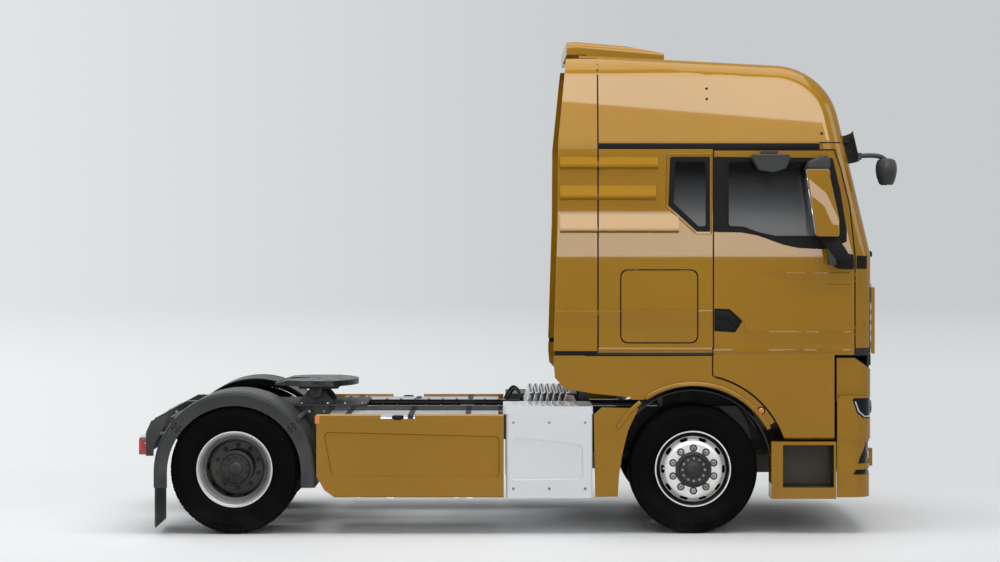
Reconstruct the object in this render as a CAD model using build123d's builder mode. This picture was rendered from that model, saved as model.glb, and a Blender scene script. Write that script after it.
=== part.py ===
from build123d import *
from math import atan2, cos, radians, sin, tan
import os

os.makedirs("parts", exist_ok=True)

# A two-axle cab-over tractor unit. Millimetres, +X forward, +Y to its left, +Z up.
# The ground is Z = 0 and the origin lies under the middle of the vehicle's box.

# Wheels and tyres
tyre_radius = 507.0
tyre_width = 312.0
tread_half_width = 128.0
flange_radius = 298.5
seat_radius = 286.0
seat_half_width = 114.0
rim_half_width = 130.0
rim_wall = 9.0
disc_offset = 175.0
disc_wall = 12.0
hub_radius = 141.0
vent_count = 10
vent_radius = 238.0
bead_gap = 0.4
spindle_radius = 50.0
bearing_gap = 0.5

# Axle places
front_axle_x = 1370.0
wheelbase = 3600.0
rear_axle_x = front_axle_x - wheelbase
front_tyre_y = 1040.0
kingpin_y = 900.0
twin_mount_y = 910.0
twin_spacing = 2 * disc_offset
outer_twin_y = twin_mount_y + twin_spacing / 2
inner_twin_y = twin_mount_y - twin_spacing / 2

# Ladder frame
frame_rear_x = -2850.0
frame_front_x = 2600.0
rail_outer_y = 430.0
rail_flange = 70.0
rail_height = 270.0
rail_wall = 8.0
frame_top_z = 950.0
frame_base_z = frame_top_z - rail_height

# Cab skin
cab_half_width = 1220.0
cab_front_x = 2850.0
cab_rear_x = 480.0
cab_base_z = 1400.0
cab_wall = 60.0
plan_radius = 8000.0
screen_foot_z = 2179.0
screen_head_x = 2653.0
screen_head_z = 3021.0
roof_rear_z = 3778.0
roof_slope = 0.0547
roof_front_radius = 530.0
front_corner_radius = 150.0
side_lean_z = 3040.0
side_lean_degrees = 11.0
side_lean_radius = 600.0
roof_edge_radius = 230.0
roof_seam_z = 3066.0
strip_base_z = 3019.0

# Clearances
panel_gap = 5.0
glass_gap = 0.4
skin_gap = 0.5

# Small hinges: along each line two knuckles of the carrier hold a pin, and one of the leaf turns on it
end_knuckle = 20.0
middle_knuckle = 30.0
hinge_pin_radius = 1.8
hinge_room = 0.5

# Cab tilt pivot
tilt_x = 2740.0
tilt_z = 950.0
tilt_pin_radius = 25.0

deflector_seam_x = 620.0
deflector_wall = 35.0
skirt_wall = 30.0
glass_wall = 6.0
glass_inset = 6.0


def side_plane(y):
    """Sketch plane along the vehicle at this Y: x is forward, y is up, extrusions go to -Y."""
    return Plane.XZ.offset(-y)


def block(x_range, y_range, z_range, mode=Mode.ADD):
    """A box given by its limits along X, Y and Z."""
    limits = (x_range, y_range, z_range)
    with Locations(Vector(*[(low + high) / 2 for low, high in limits])):
        Box(*[high - low for low, high in limits], mode=mode)


def bar_along_y(x, z, y_range, radius, mode=Mode.ADD):
    """A round bar across the vehicle."""
    with BuildSketch(side_plane(y_range[1])) as disc:
        with Locations((x, z)):
            Circle(radius)
    extrude(disc.sketch, amount=y_range[1] - y_range[0], mode=mode)


def panel(points, y_range, mode=Mode.ADD, radius=0):
    """A flat panel along the vehicle, from its outline in X and Z."""
    with BuildSketch(side_plane(y_range[1])) as outline:
        Polygon(*points, align=None)
        if radius:
            fillet(outline.vertices(), radius)
    extrude(outline.sketch, amount=y_range[1] - y_range[0], mode=mode)


def rod(plane, first, length, radius, mode=Mode.ADD):
    """A round rod along a plane's normal, from this far along it."""
    with BuildSketch(plane.offset(first)) as disc:
        Circle(radius)
    extrude(disc.sketch, amount=length, mode=mode)


def add_hinge(line, starts, radius, carrier):
    """Knuckles along a hinge line: the carrier's two with their pin, or the leaf's one with its bore."""
    for start in starts:
        middle = start + end_knuckle
        far = middle + middle_knuckle
        if carrier:
            rod(line, middle, middle_knuckle, radius + 2 * hinge_room, Mode.SUBTRACT)
            rod(line, start, end_knuckle, radius)
            rod(line, far, end_knuckle, radius)
            rod(line, middle - 1, middle_knuckle + 2, hinge_pin_radius)
        else:
            for end in (start, far):
                rod(line, end - hinge_room, end_knuckle + 2 * hinge_room, radius + 2 * hinge_room, Mode.SUBTRACT)
            rod(line, middle + hinge_room, middle_knuckle - 2 * hinge_room, radius)
            rod(line, middle, middle_knuckle, hinge_pin_radius + hinge_room, Mode.SUBTRACT)


def write_pair(right_part, node):
    """Write the right-hand piece and its mirror image as two nodes."""
    for hand in ("right", "left"):
        with BuildPart() as piece:
            add(right_part)
            if hand == "left":
                mirror(about=Plane.XZ, mode=Mode.REPLACE)
        piece.part.label = f"{node}_{hand}"
        export_step(piece.part, f"parts/{node}_{hand}.step")


def cab_section(inset, x):
    """Cross-section of the cab seen from the front, this far inside its skin."""
    half = cab_half_width - inset
    base = cab_base_z + inset
    top = roof_rear_z - inset
    lean_y = half - (top - side_lean_z) * tan(radians(side_lean_degrees))
    with BuildSketch(Plane.YZ.offset(x)) as section:
        with BuildLine():
            Polyline(
                (-half, base),
                (half, base),
                (half, side_lean_z),
                (lean_y, top),
                (-lean_y, top),
                (-half, side_lean_z),
                close=True,
            )
        make_face()
        fillet(section.vertices().filter_by(lambda v: v.Y > top - 1), roof_edge_radius - inset)
        fillet(section.vertices().filter_by(lambda v: abs(v.Y - side_lean_z) < 1), side_lean_radius)
    return section.sketch


def cab_volume(inset, rounded=True):
    """Closed cab form this far inside its skin: the side profile turned about a far upright axis."""
    axis_x = cab_front_x - plan_radius
    front = plan_radius - inset
    base = cab_base_z + inset
    rake = (cab_front_x - screen_head_x) / (screen_head_z - screen_foot_z)
    roof_at_axis = roof_rear_z - inset + roof_slope * (cab_rear_x - axis_x)
    brow_x = (front - rake * (roof_at_axis - screen_foot_z)) / (1 - rake * roof_slope)
    brow_z = roof_at_axis - roof_slope * brow_x
    half_turn = 12.0
    start = Plane(
        origin=(axis_x, 0, 0),
        x_dir=(cos(radians(half_turn)), -sin(radians(half_turn)), 0),
        z_dir=(-sin(radians(half_turn)), -cos(radians(half_turn)), 0),
    )
    with BuildPart() as volume:
        with BuildSketch(start) as profile:
            with BuildLine():
                Polyline(
                    (0, base),
                    (front, base),
                    (front, screen_foot_z),
                    (brow_x, brow_z),
                    (0, roof_at_axis),
                    close=True,
                )
            make_face()
            brow = profile.vertices().filter_by(lambda v: abs(v.X - brow_x) < 1)
            fillet(brow, roof_front_radius - inset)
        revolve(axis=Axis((axis_x, 0, 0), (0, 0, 1)), revolution_arc=2 * half_turn)
        extrude(cab_section(inset, cab_rear_x + inset), amount=plan_radius, mode=Mode.INTERSECT)
        if rounded:
            corner_edges = volume.edges().filter_by(is_front_corner)
            fillet(corner_edges, max(front_corner_radius - inset, rim_wall))
    return volume.part


def is_front_corner(edge):
    """True for the edges where the cab's front meets its sides."""
    first, middle, last = edge.position_at(0), edge.position_at(0.5), edge.position_at(1)
    one_side = abs(first.Y - last.Y) < 200
    upright = abs(first.Z - last.Z) > 20
    return one_side and upright and middle.X > 2000 and abs(middle.Y) > 900


def wheel_plane(x, y):
    """Section plane through a right-hand wheel: x is the radius upwards, y is outboard."""
    return Plane(origin=(x, -y, tyre_radius), x_dir=(0, 0, 1), z_dir=(1, 0, 0))


def wheel_face(x, y, out):
    """Plane across a right-hand wheel's axis, this far outboard of its middle."""
    return Plane(origin=(x, -y - out, tyre_radius), x_dir=(1, 0, 0), z_dir=(0, -1, 0))


def wheel_axis(x):
    """Axis of the wheels at this X."""
    return Axis((x, 0, tyre_radius), (0, 1, 0))


# Tyres: radius and distance outboard of the middle plane, one half of the section
bead = (seat_radius + bead_gap, seat_half_width - 0.6)
bead_top = (flange_radius + 0.8, seat_half_width + 6.8)
sidewall_bulge = (398.0, tyre_width / 2)
shoulder = (tyre_radius - 24.0, tread_half_width + 15.0)
tread_edge = (tyre_radius, tread_half_width - 12.0)


def add_tyre(x, y):
    """Tyre ring on a right-hand wheel."""
    with BuildSketch(wheel_plane(x, y)) as section:
        with BuildLine():
            Line((bead[0], 0), bead)
            Line(bead, bead_top)
            ThreePointArc(bead_top, sidewall_bulge, shoulder)
            ThreePointArc(shoulder, (tyre_radius - 6.0, tread_half_width), tread_edge)
            Line(tread_edge, (tyre_radius, 0))
            Line((tyre_radius, 0), (bead[0], 0))
        make_face()
        mirror(about=Plane.XZ)
    revolve(section.sketch, axis=wheel_axis(x))


# Rim: radius and distance outboard along its tyre side, one half
rim_points = (
    (flange_radius, rim_half_width),
    (flange_radius, rim_half_width - 8.5),
    (seat_radius, seat_half_width),
    (seat_radius - 16.0, 62.0),
    (seat_radius - 46.0, 40.0),
)


def add_rim(x, y):
    """Drop-centre rim without its disc."""
    outer = list(rim_points)
    inner = [(radius - rim_wall, out + 4.0 if out < 100 else out) for radius, out in outer]
    inner[1] = (flange_radius - rim_wall - 4.0, rim_half_width - 6.0)
    half = outer + [(outer[-1][0], 0), (inner[-1][0], 0)] + inner[::-1]
    with BuildSketch(wheel_plane(x, y)) as section:
        Polygon(*half, align=None)
        Polygon(*[(radius, -out) for radius, out in half], align=None)
    revolve(section.sketch, axis=wheel_axis(x))


# Wheel disc: radius and distance from the mounting plane back towards the rim
disc_outer = ((hub_radius - 2, 0), (200.0, 0), (222.0, 7.0), (238.0, 25.0), (247.0, 50.0), (269.0, 71.0))
disc_inner = ((269.0, 86.0), (236.0, 58.0), (227.0, 33.0), (214.0, 18.0), (197.0, disc_wall), (hub_radius - 2, disc_wall))


def add_disc(x, y, side):
    """Disc of a wheel: side is 1 where it bulges outboard and -1 where it is dished."""
    points = [(radius, side * (disc_offset - back)) for radius, back in disc_outer + disc_inner]
    with BuildSketch(wheel_plane(x, y)) as section:
        Polygon(*points, align=None)
    revolve(section.sketch, axis=wheel_axis(x))
    vent_depth = 90.0
    out = disc_offset if side > 0 else -disc_offset + vent_depth
    with BuildSketch(wheel_face(x, y, out)) as vents:
        with PolarLocations(vent_radius, vent_count):
            SlotOverall(64, 26, rotation=90)
    extrude(vents.sketch, amount=-vent_depth, mode=Mode.SUBTRACT)


# Front wheels
front_hub = (
    (spindle_radius + bearing_gap, -60.0),
    (120.0, -60.0),
    (120.0, -48.0),
    (215.0, -48.0),
    (215.0, -6.0),
    (120.0, -6.0),
    (128.0, 150.0),
    (hub_radius, 150.0),
    (hub_radius, 190.0),
    (112.0, 193.0),
    (108.0, 214.0),
    (0.0, 214.0),
    (0.0, 122.0),
    (spindle_radius + bearing_gap, 122.0),
)
with BuildPart() as front_wheel:
    add_rim(front_axle_x, front_tyre_y)
    add_disc(front_axle_x, front_tyre_y, 1)
    with BuildSketch(wheel_plane(front_axle_x, front_tyre_y)):
        Polygon(*front_hub, align=None)
    revolve(axis=wheel_axis(front_axle_x))
write_pair(front_wheel.part, "front_wheel")

with BuildPart() as front_tyre:
    add_tyre(front_axle_x, front_tyre_y)
write_pair(front_tyre.part, "front_tyre")

# Rear twin wheels: two rims and their hub, sketched from the mounting plane of the twins
rear_hub = (
    (spindle_radius + bearing_gap, -318.0),
    (110.0, -318.0),
    (110.0, -290.0),
    (215.0, -290.0),
    (215.0, -240.0),
    (125.0, -240.0),
    (130.0, -20.0),
    (hub_radius, -20.0),
    (hub_radius, 222.0),
    (118.0, 226.0),
    (112.0, 240.0),
    (0.0, 240.0),
    (0.0, 82.0),
    (spindle_radius + bearing_gap, 82.0),
)
with BuildPart() as rear_wheel:
    for tyre_y, bulge in ((inner_twin_y, 1), (outer_twin_y, -1)):
        add_rim(rear_axle_x, tyre_y)
        add_disc(rear_axle_x, tyre_y, bulge)
    with BuildSketch(wheel_plane(rear_axle_x, twin_mount_y)):
        Polygon(*rear_hub, align=None)
    revolve(axis=wheel_axis(rear_axle_x))
write_pair(rear_wheel.part, "rear_wheels")

with BuildPart() as rear_tyre:
    for tyre_y in (inner_twin_y, outer_twin_y):
        add_tyre(rear_axle_x, tyre_y)
write_pair(rear_tyre.part, "rear_tyres")

# Steering knuckles: a fork round the axle's boss, the spindle and the steering arm
boss_radius = 50.0
boss_height = 110.0
fork_height = 55.0
knuckle_pin_radius = 22.0
fork_gap = 0.5
fork_top = boss_height / 2 + fork_height
with BuildPart() as knuckle:
    for low in (boss_height / 2 + fork_gap, -fork_top):
        with BuildSketch(Plane.XY.offset(tyre_radius + low)):
            with Locations((front_axle_x, -kingpin_y)):
                Circle(boss_radius + 4)
            with Locations((front_axle_x, -kingpin_y - 45)):
                Rectangle(90, 60)
        extrude(amount=fork_height - fork_gap)
    block(
        (front_axle_x - 45, front_axle_x + 45),
        (-kingpin_y - 75, -kingpin_y - boss_radius - panel_gap),
        (tyre_radius - fork_top, tyre_radius + fork_top),
    )
    with BuildSketch(wheel_face(front_axle_x, kingpin_y, 60)):
        Circle(spindle_radius)
    extrude(amount=190)
    with BuildSketch(Plane.XY.offset(tyre_radius - fork_top)):
        with Locations((front_axle_x, -kingpin_y)):
            Circle(knuckle_pin_radius)
    extrude(amount=2 * fork_top)
    with BuildSketch(Plane.XY.offset(tyre_radius - fork_top)):
        Polygon(
            (front_axle_x - 30, -kingpin_y - 30),
            (front_axle_x - 30, -kingpin_y + 30),
            (front_axle_x - 260, -kingpin_y + 75),
            (front_axle_x - 260, -kingpin_y + 35),
            align=None,
        )
    extrude(amount=30)
write_pair(knuckle.part, "knuckle")

# Front axle: a forged beam that drops between its two bosses
beam_width = 90.0
beam_drop = 95.0
spring_y = 395.0
spring_width = 80.0
spring_seat_z = tyre_radius - 20
with BuildPart() as front_axle:
    with BuildSketch(Plane.YZ.offset(front_axle_x - beam_width / 2)):
        with BuildLine():
            Polyline(
                (-kingpin_y, tyre_radius + 40),
                (-kingpin_y, tyre_radius - 45),
                (70 - kingpin_y, tyre_radius - 45),
                (-640, tyre_radius - beam_drop - 60),
                (640, tyre_radius - beam_drop - 60),
                (kingpin_y - 70, tyre_radius - 45),
                (kingpin_y, tyre_radius - 45),
                (kingpin_y, tyre_radius + 40),
                (600, spring_seat_z),
                (320, spring_seat_z),
                (260, tyre_radius - beam_drop + 35),
                (-260, tyre_radius - beam_drop + 35),
                (-320, spring_seat_z),
                (-600, spring_seat_z),
                close=True,
            )
        make_face()
    extrude(amount=beam_width)
    for side in (-1, 1):
        with BuildSketch(Plane.XY.offset(tyre_radius - boss_height / 2)):
            with Locations((front_axle_x, side * kingpin_y)):
                Circle(boss_radius)
        extrude(amount=boss_height)
        with BuildSketch(Plane.XY.offset(tyre_radius - boss_height / 2)):
            with Locations((front_axle_x, side * kingpin_y)):
                Circle(knuckle_pin_radius + fork_gap)
        extrude(amount=boss_height, mode=Mode.SUBTRACT)
front_axle.part.label = "front_axle"
export_step(front_axle.part, "parts/front_axle.step")

# Rear axle: tube, spindles, differential case and the propeller shaft in front of it
axle_flange_y = twin_mount_y - 318.0 - bearing_gap
axle_nose = 330.0
shaft_radius = 60.0
shaft_z = (tyre_radius + 20, 760.0)
gearbox_rear_x = 250.0
with BuildPart() as rear_axle:
    bar_along_y(rear_axle_x, tyre_radius, (-axle_flange_y, axle_flange_y), 75)
    bar_along_y(rear_axle_x, tyre_radius, (-twin_mount_y - 75, twin_mount_y + 75), spindle_radius)
    bar_along_y(rear_axle_x, tyre_radius, (-120, 120), 205)
    fillet(rear_axle.edges().filter_by(lambda e: abs(e.radius - 205) < 1 if e.geom_type == GeomType.CIRCLE else False), 60)
    with BuildSketch(Plane.YZ.offset(rear_axle_x)) as nose:
        with Locations((0, shaft_z[0])):
            Circle(130)
    extrude(amount=axle_nose, taper=8)
rear_axle.part.label = "rear_axle"
export_step(rear_axle.part, "parts/rear_axle.step")

shaft_tilt = atan2(shaft_z[1] - shaft_z[0], gearbox_rear_x - rear_axle_x - axle_nose)
end_room = shaft_radius * sin(shaft_tilt) + 0.3
shaft_start = Vector(rear_axle_x + axle_nose + end_room, 0, shaft_z[0])
shaft_end = Vector(gearbox_rear_x - end_room, 0, shaft_z[1])
with BuildPart() as propeller_shaft:
    with BuildSketch(Plane(origin=shaft_start, z_dir=shaft_end - shaft_start)):
        Circle(shaft_radius)
    extrude(amount=(shaft_end - shaft_start).length)
propeller_shaft.part.label = "propeller_shaft"
export_step(propeller_shaft.part, "parts/propeller_shaft.step")

# Springs: leaves over the front axle, air bellows on trailing beams at the rear
with BuildPart() as suspension:
    spring_half = 830.0
    eye_z = frame_base_z - 60
    leaf = 34.0
    for side in (-1, 1):
        with BuildSketch(side_plane(side * spring_y + spring_width / 2)):
            with BuildLine():
                low = ThreePointArc(
                    (front_axle_x - spring_half, eye_z - leaf / 2),
                    (front_axle_x, spring_seat_z),
                    (front_axle_x + spring_half, eye_z - leaf / 2),
                )
                high = ThreePointArc(
                    (front_axle_x + spring_half, eye_z + leaf / 2),
                    (front_axle_x, spring_seat_z + leaf * 1.6),
                    (front_axle_x - spring_half, eye_z + leaf / 2),
                )
                Line(low @ 1, high @ 0)
                Line(high @ 1, low @ 0)
            make_face()
        extrude(amount=spring_width)
        for eye_x in (front_axle_x - spring_half, front_axle_x + spring_half):
            block(
                (eye_x - 35, eye_x + 35),
                (side * spring_y - spring_width / 2, side * spring_y + spring_width / 2),
                (eye_z - 30, frame_base_z),
            )
        block(
            (rear_axle_x - 560, rear_axle_x + 620),
            (side * spring_y - 45, side * spring_y + 45),
            (tyre_radius - 165, tyre_radius - 75),
        )
        for bellows_x in (rear_axle_x - 430, rear_axle_x + 430):
            with BuildSketch(Plane.XY.offset(tyre_radius - 75)):
                with Locations((bellows_x, side * spring_y)):
                    Circle(120)
            extrude(amount=frame_base_z - tyre_radius + 75)
        block(
            (rear_axle_x + 560, rear_axle_x + 620),
            (side * spring_y - 45, side * spring_y + 45),
            (tyre_radius - 165, frame_base_z),
        )
suspension.part.label = "suspension"
export_step(suspension.part, "parts/suspension.step")

# Ladder frame with the cab's pivot brackets at its nose and the coupling ramps at its tail
cross_members = (-2790.0, -1960.0, -1330.0, -420.0, 100.0)
ramp_tail_x = frame_rear_x - 110.0
ramp_tail_z = (frame_base_z + 60.0, frame_base_z + 170.0)
ramp_top_x = (-2700.0, -2300.0)
ramp_top_z = frame_top_z + 40.0
nose_beam_z = (440.0, 705.0)
rail_outline = (
    (frame_front_x, frame_base_z),
    (frame_front_x, frame_top_z),
    (ramp_top_x[1], frame_top_z),
    (ramp_top_x[1], ramp_top_z),
    (ramp_top_x[0], ramp_top_z),
    (ramp_tail_x, ramp_tail_z[1]),
    (ramp_tail_x, ramp_tail_z[0]),
    (frame_rear_x, ramp_tail_z[0]),
    (frame_rear_x, frame_base_z),
)
with BuildPart() as frame:
    for side in (-1, 1):
        outer, inner = side * rail_outer_y, side * (rail_outer_y - rail_flange)
        low, high = min(outer, inner), max(outer, inner)
        panel(rail_outline, (low, high))
        shift = side * rail_wall
        block(
            (frame_rear_x, frame_front_x),
            (low - shift, high - shift),
            (frame_base_z + rail_wall, frame_top_z - rail_wall),
            mode=Mode.SUBTRACT,
        )
        bracket_y = sorted((side * (rail_outer_y - 20), side * (rail_outer_y + 40)))
        panel(
            (
                (2420, 700),
                (tilt_x - 165, 700),
                (tilt_x - 28, tilt_z - 38),
                (tilt_x + 38, tilt_z - 38),
                (tilt_x + 38, tilt_z + 40),
                (2700, 1000),
                (2420, 950),
            ),
            bracket_y,
            radius=20,
        )
        bar_along_y(tilt_x, tilt_z, sorted((side * 400, side * 530)), tilt_pin_radius)
    web_y = rail_outer_y - rail_wall
    for cross_x in cross_members:
        block((cross_x - 55, cross_x + 55), (-web_y, web_y), (frame_base_z + 145, frame_top_z - 30))
    block((2520, frame_front_x), (-web_y, web_y), (frame_base_z + 10, frame_base_z + 90))
    block((frame_front_x, frame_front_x + 50), (-1000, 1000), nose_beam_z)
    for side in (-1, 1):
        arm_y = sorted((side * 360, side * 430))
        block((frame_front_x - 60, frame_front_x), arm_y, (nose_beam_z[0], frame_base_z + 10))
frame.part.label = "frame"
export_step(frame.part, "parts/frame.step")

# Engine block with its gearbox, and the radiator
with BuildPart() as engine:
    block((1180, 2320), (-330, 330), (600, 1330))
    block((gearbox_rear_x, 1180), (-230, 230), (560, 930))
    block((2360, 2500), (-350, 350), (frame_base_z + 100, frame_top_z + 5))
    block((2360, 2500), (-410, 410), (frame_top_z + 5, 1330))
    block((2300, 2380), (-100, 100), (900, 1000))
    block((gearbox_rear_x + 260, gearbox_rear_x + 320), (-web_y, web_y), (710, 770))
    block((1700, 1760), (-web_y, web_y), (760, 860))
engine.part.label = "engine"
export_step(engine.part, "parts/engine.step")

# Rear cab supports: two posts with a cross beam under the back of the cab
with BuildPart() as cab_supports:
    for side in (-1, 1):
        block((500, 580), sorted((side * 360, side * 430)), (frame_top_z, 1330))
    block((490, 590), (-700, 700), (1330, cab_base_z - panel_gap))
cab_supports.part.label = "cab_supports"
export_step(cab_supports.part, "parts/cab_supports.step")

# The cab: its skin is one volume less a smaller one, then parted where the real panels meet
skin = cab_volume(0)
room = cab_volume(cab_wall)

door_rear_x = 1521.0
door_front_x = 2639.0
door_top_z = strip_base_z
door_outline = (
    (door_rear_x, cab_base_z),
    (door_front_x, cab_base_z),
    (door_front_x, 2190),
    (2600, 2575),
    (2527, 2875),
    (2478, door_top_z),
    (door_rear_x, door_top_z),
)
door_window = (
    (1632, 2404),
    (1760, 2396),
    (1900, 2346),
    (2010, 2324),
    (2508, 2324),
    (2500, 2440),
    (2455, 2700),
    (2396, 2930),
    (1632, 2930),
)
quarter_window = ((1215, 2930), (1480, 2930), (1480, 2402), (1405, 2402), (1202, 2590))
locker_x = (800.0, 1404.0)
locker_z = (1500.0, 2072.0)
locker_corner = 60.0
lid_wall = 30.0
side_out = cab_half_width + 80
side_in = cab_half_width - cab_wall - panel_gap

right_outside = (-side_out, -side_in)


def window_prism(points, gap, radius, y_range=right_outside):
    """Prism over a window, its outline drawn in by the gap."""
    with BuildPart() as prism:
        with BuildSketch(side_plane(y_range[1])) as outline:
            Polygon(*points, align=None)
            fillet(outline.vertices(), radius)
            if gap:
                offset(amount=-gap)
        extrude(amount=y_range[1] - y_range[0])
    return prism.part


def door_prism(gap):
    """Prism over the door's outline: a positive gap draws it in."""
    with BuildPart() as prism:
        with BuildSketch(side_plane(-side_in - gap)) as outline:
            Polygon(*door_outline, align=None)
            if gap:
                offset(amount=-gap, kind=Kind.INTERSECTION)
        extrude(amount=side_out - side_in - gap)
    return prism.part


def mirrored(part):
    """A right-hand part together with its mirror image."""
    with BuildPart() as pair:
        add(part)
        mirror(about=Plane.XZ)
    return pair.part


door_opening = mirrored(door_prism(0))
door_windows = mirrored(window_prism(door_window, 0, 22))
quarter_windows = mirrored(window_prism(quarter_window, 0, 18))

with BuildPart() as locker_outline:
    with BuildSketch(side_plane(-side_in)):
        with Locations((sum(locker_x) / 2, sum(locker_z) / 2)):
            RectangleRounded(locker_x[1] - locker_x[0], locker_z[1] - locker_z[0], locker_corner)
    extrude(amount=side_out - side_in)
locker_openings = mirrored(locker_outline.part)

# Pocket behind each side deflector, where the cab is narrower
with BuildPart() as deflector_ring:
    extrude(cab_section(0, cab_rear_x - 250), amount=deflector_seam_x - cab_rear_x + 250)
    extrude(
        cab_section(deflector_wall, cab_rear_x - 250),
        amount=deflector_seam_x - cab_rear_x + 250,
        mode=Mode.SUBTRACT,
    )
deflector_top_z = 3741.0
with BuildPart() as deflector_pocket:
    extrude(cab_section(-10, cab_rear_x - 20), amount=deflector_seam_x - cab_rear_x + 20)
    extrude(
        cab_section(deflector_wall + skin_gap, cab_rear_x - 20),
        amount=deflector_seam_x - cab_rear_x + 20,
        mode=Mode.SUBTRACT,
    )
    block((0, 1000), (-1500, 1500), (cab_base_z - 100, deflector_top_z + 4), mode=Mode.INTERSECT)

screen_outline = ((-1085, 2200), (1085, 2200), (1040, 2985), (-1040, 2985))


def screen_prism(gap):
    """Prism over the windscreen, drawn in by the gap."""
    with BuildPart() as prism:
        with BuildSketch(Plane.YZ.offset(2400)) as outline:
            Polygon(*screen_outline, align=None)
            fillet(outline.vertices(), 90)
            if gap:
                offset(amount=-gap)
        extrude(amount=600)
    return prism.part


# Hinge lines: doors on the front pillars, locker lids along their openings' upper edge, the front flap
door_knuckle_radius = 4.5
door_hinge_x = door_front_x - panel_gap / 2
door_hinge_y = cab_half_width - 1.0
door_hinge_z = (1560.0, 1980.0)
lid_knuckle_radius = 4.0
lid_hinge_z = locker_z[1] - panel_gap / 2
lid_hinge_x = (860.0, 1067.0, 1274.0)
lid_hinge = Plane(origin=(0, -cab_half_width, lid_hinge_z), z_dir=(1, 0, 0))
flap_knuckle_radius = 7.0
flap_hinge_x = 2856.0
flap_hinge_z = 1941.0
flap_hinge_y = (-535.0, 465.0)
flap_hinge = Plane(origin=(flap_hinge_x, 0, flap_hinge_z), z_dir=(0, 1, 0))


def door_hinge(side):
    """Upright hinge line of the door on this side."""
    return Plane(origin=(door_hinge_x, side * door_hinge_y, 0), z_dir=(0, 0, 1))


front_split_x = 2480.0
front_zone = ((2430, cab_base_z + cab_wall), (3000, cab_base_z + cab_wall), (3000, roof_seam_z), (2430, roof_seam_z))

with BuildPart() as cab_shell:
    add(skin)
    add(room, mode=Mode.SUBTRACT)
    add(deflector_pocket.part, mode=Mode.SUBTRACT)
    add(door_opening, mode=Mode.SUBTRACT)

floor_top_z = cab_base_z + cab_wall
well_x = (2016.0, 2410.0)
well_inner_y = 930.0
tread_outer_y = 1140.0
apron_x = (2745.0, 2775.0)
apron_y = (600.0, 1110.0)
apron_base_z = 1318.0
tread_z = 1060.0
with BuildPart() as cab_floor:
    add(cab_shell.part)
    block((0, 4000), (-2000, 2000), (0, floor_top_z), mode=Mode.INTERSECT)
    for side in (-1, 1):
        wall_y = sorted((side * well_inner_y, side * (well_inner_y + 12)))
        tread_y = sorted((side * well_inner_y, side * tread_outer_y))
        block(well_x, wall_y, (tread_z - 25, floor_top_z))
        block(well_x, tread_y, (tread_z - 25, tread_z))
        lug_y = sorted((side * 480, side * 522))
        panel(
            ((tilt_x - 45, tilt_z - 45), (tilt_x + 45, tilt_z - 45), (tilt_x + 40, 1410), (tilt_x - 240, 1410)),
            lug_y,
            radius=8,
        )
        bar_along_y(tilt_x, tilt_z, lug_y, tilt_pin_radius + bearing_gap, mode=Mode.SUBTRACT)
        block(apron_x, sorted((side * apron_y[0], side * apron_y[1])), (apron_base_z, cab_base_z + 1))
cab_floor.part.label = "cab_floor"
export_step(cab_floor.part, "parts/cab_floor.step")

wall_ribs = (-860.0, -430.0, 0.0, 430.0, 860.0)
wall_rib_z = (1600.0, 2900.0)
wall_rib = (110.0, 14.0)
with BuildPart() as cab_rear_wall:
    add(cab_shell.part)
    block((0, cab_rear_x + cab_wall), (-2000, 2000), (floor_top_z, roof_seam_z), mode=Mode.INTERSECT)
    with BuildSketch(Plane.YZ.offset(cab_rear_x)) as ribs:
        for rib_y in wall_ribs:
            with Locations((rib_y, sum(wall_rib_z) / 2)):
                RectangleRounded(wall_rib[0], wall_rib_z[1] - wall_rib_z[0], 40)
    extrude(ribs.sketch, amount=-wall_rib[1], taper=30)
cab_rear_wall.part.label = "cab_rear_wall"
export_step(cab_rear_wall.part, "parts/cab_rear_wall.step")

with BuildPart() as cab_roof:
    add(cab_shell.part)
    block((0, 4000), (-2000, 2000), (roof_seam_z, 5000), mode=Mode.INTERSECT)
cab_roof.part.label = "cab_roof"
export_step(cab_roof.part, "parts/cab_roof.step")

with BuildPart() as cab_front:
    add(cab_shell.part)
    block((front_split_x, 4000), (-2000, 2000), (floor_top_z, roof_seam_z), mode=Mode.INTERSECT)
    add(screen_prism(0), mode=Mode.SUBTRACT)
    for side in (-1, 1):
        add_hinge(door_hinge(side), door_hinge_z, door_knuckle_radius, True)
    for start in flap_hinge_y:
        for y in (start, start + end_knuckle + middle_knuckle):
            block((flap_hinge_x - 36, flap_hinge_x), (y, y + end_knuckle), (flap_hinge_z - 3, flap_hinge_z + 4))
    add_hinge(flap_hinge, flap_hinge_y, flap_knuckle_radius, True)
cab_front.part.label = "cab_front"
export_step(cab_front.part, "parts/cab_front.step")

# Raised ribs on the flanks: lowest and highest Z, and the X where each ends on the cab's side
rib_proud = 28.0
flank_ribs = ((2858.0, 2959.0, 1092.0), (2617.0, 2737.0, 1076.0), (2360.0, 2513.0, 1255.0))
rib_rear_x = 325.0


def add_ribs(x_low, x_high):
    """Wedge ribs on the right flank between two X places, proud at their lower edge."""
    for rib_base, rib_top, rib_front in flank_ribs:
        front = min(x_high, rib_front)
        with BuildSketch(Plane.YZ.offset(x_low)) as wedge:
            Polygon(
                (-cab_half_width + 1, rib_base),
                (-cab_half_width - rib_proud, rib_base + 22),
                (-cab_half_width - rib_proud, rib_base + 40),
                (-cab_half_width + 1, rib_top),
                align=None,
            )
        extrude(wedge.sketch, amount=front - x_low)


# Folds pressed into the flanks: each stands proud below its upper edge and fades out downwards
fold_root = 1.0
side_fold = (1757.0, 9.0, 150.0)
belt_fold = (cab_base_z + 52, 11.0, 42.0)
door_folds = ((2052.0, 6.0, 70.0, 2100.0), (1962.0, 7.0, 95.0, 2280.0), (1592.0, 8.0, 110.0, 1780.0))
fold_front_x = 2600.0


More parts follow.
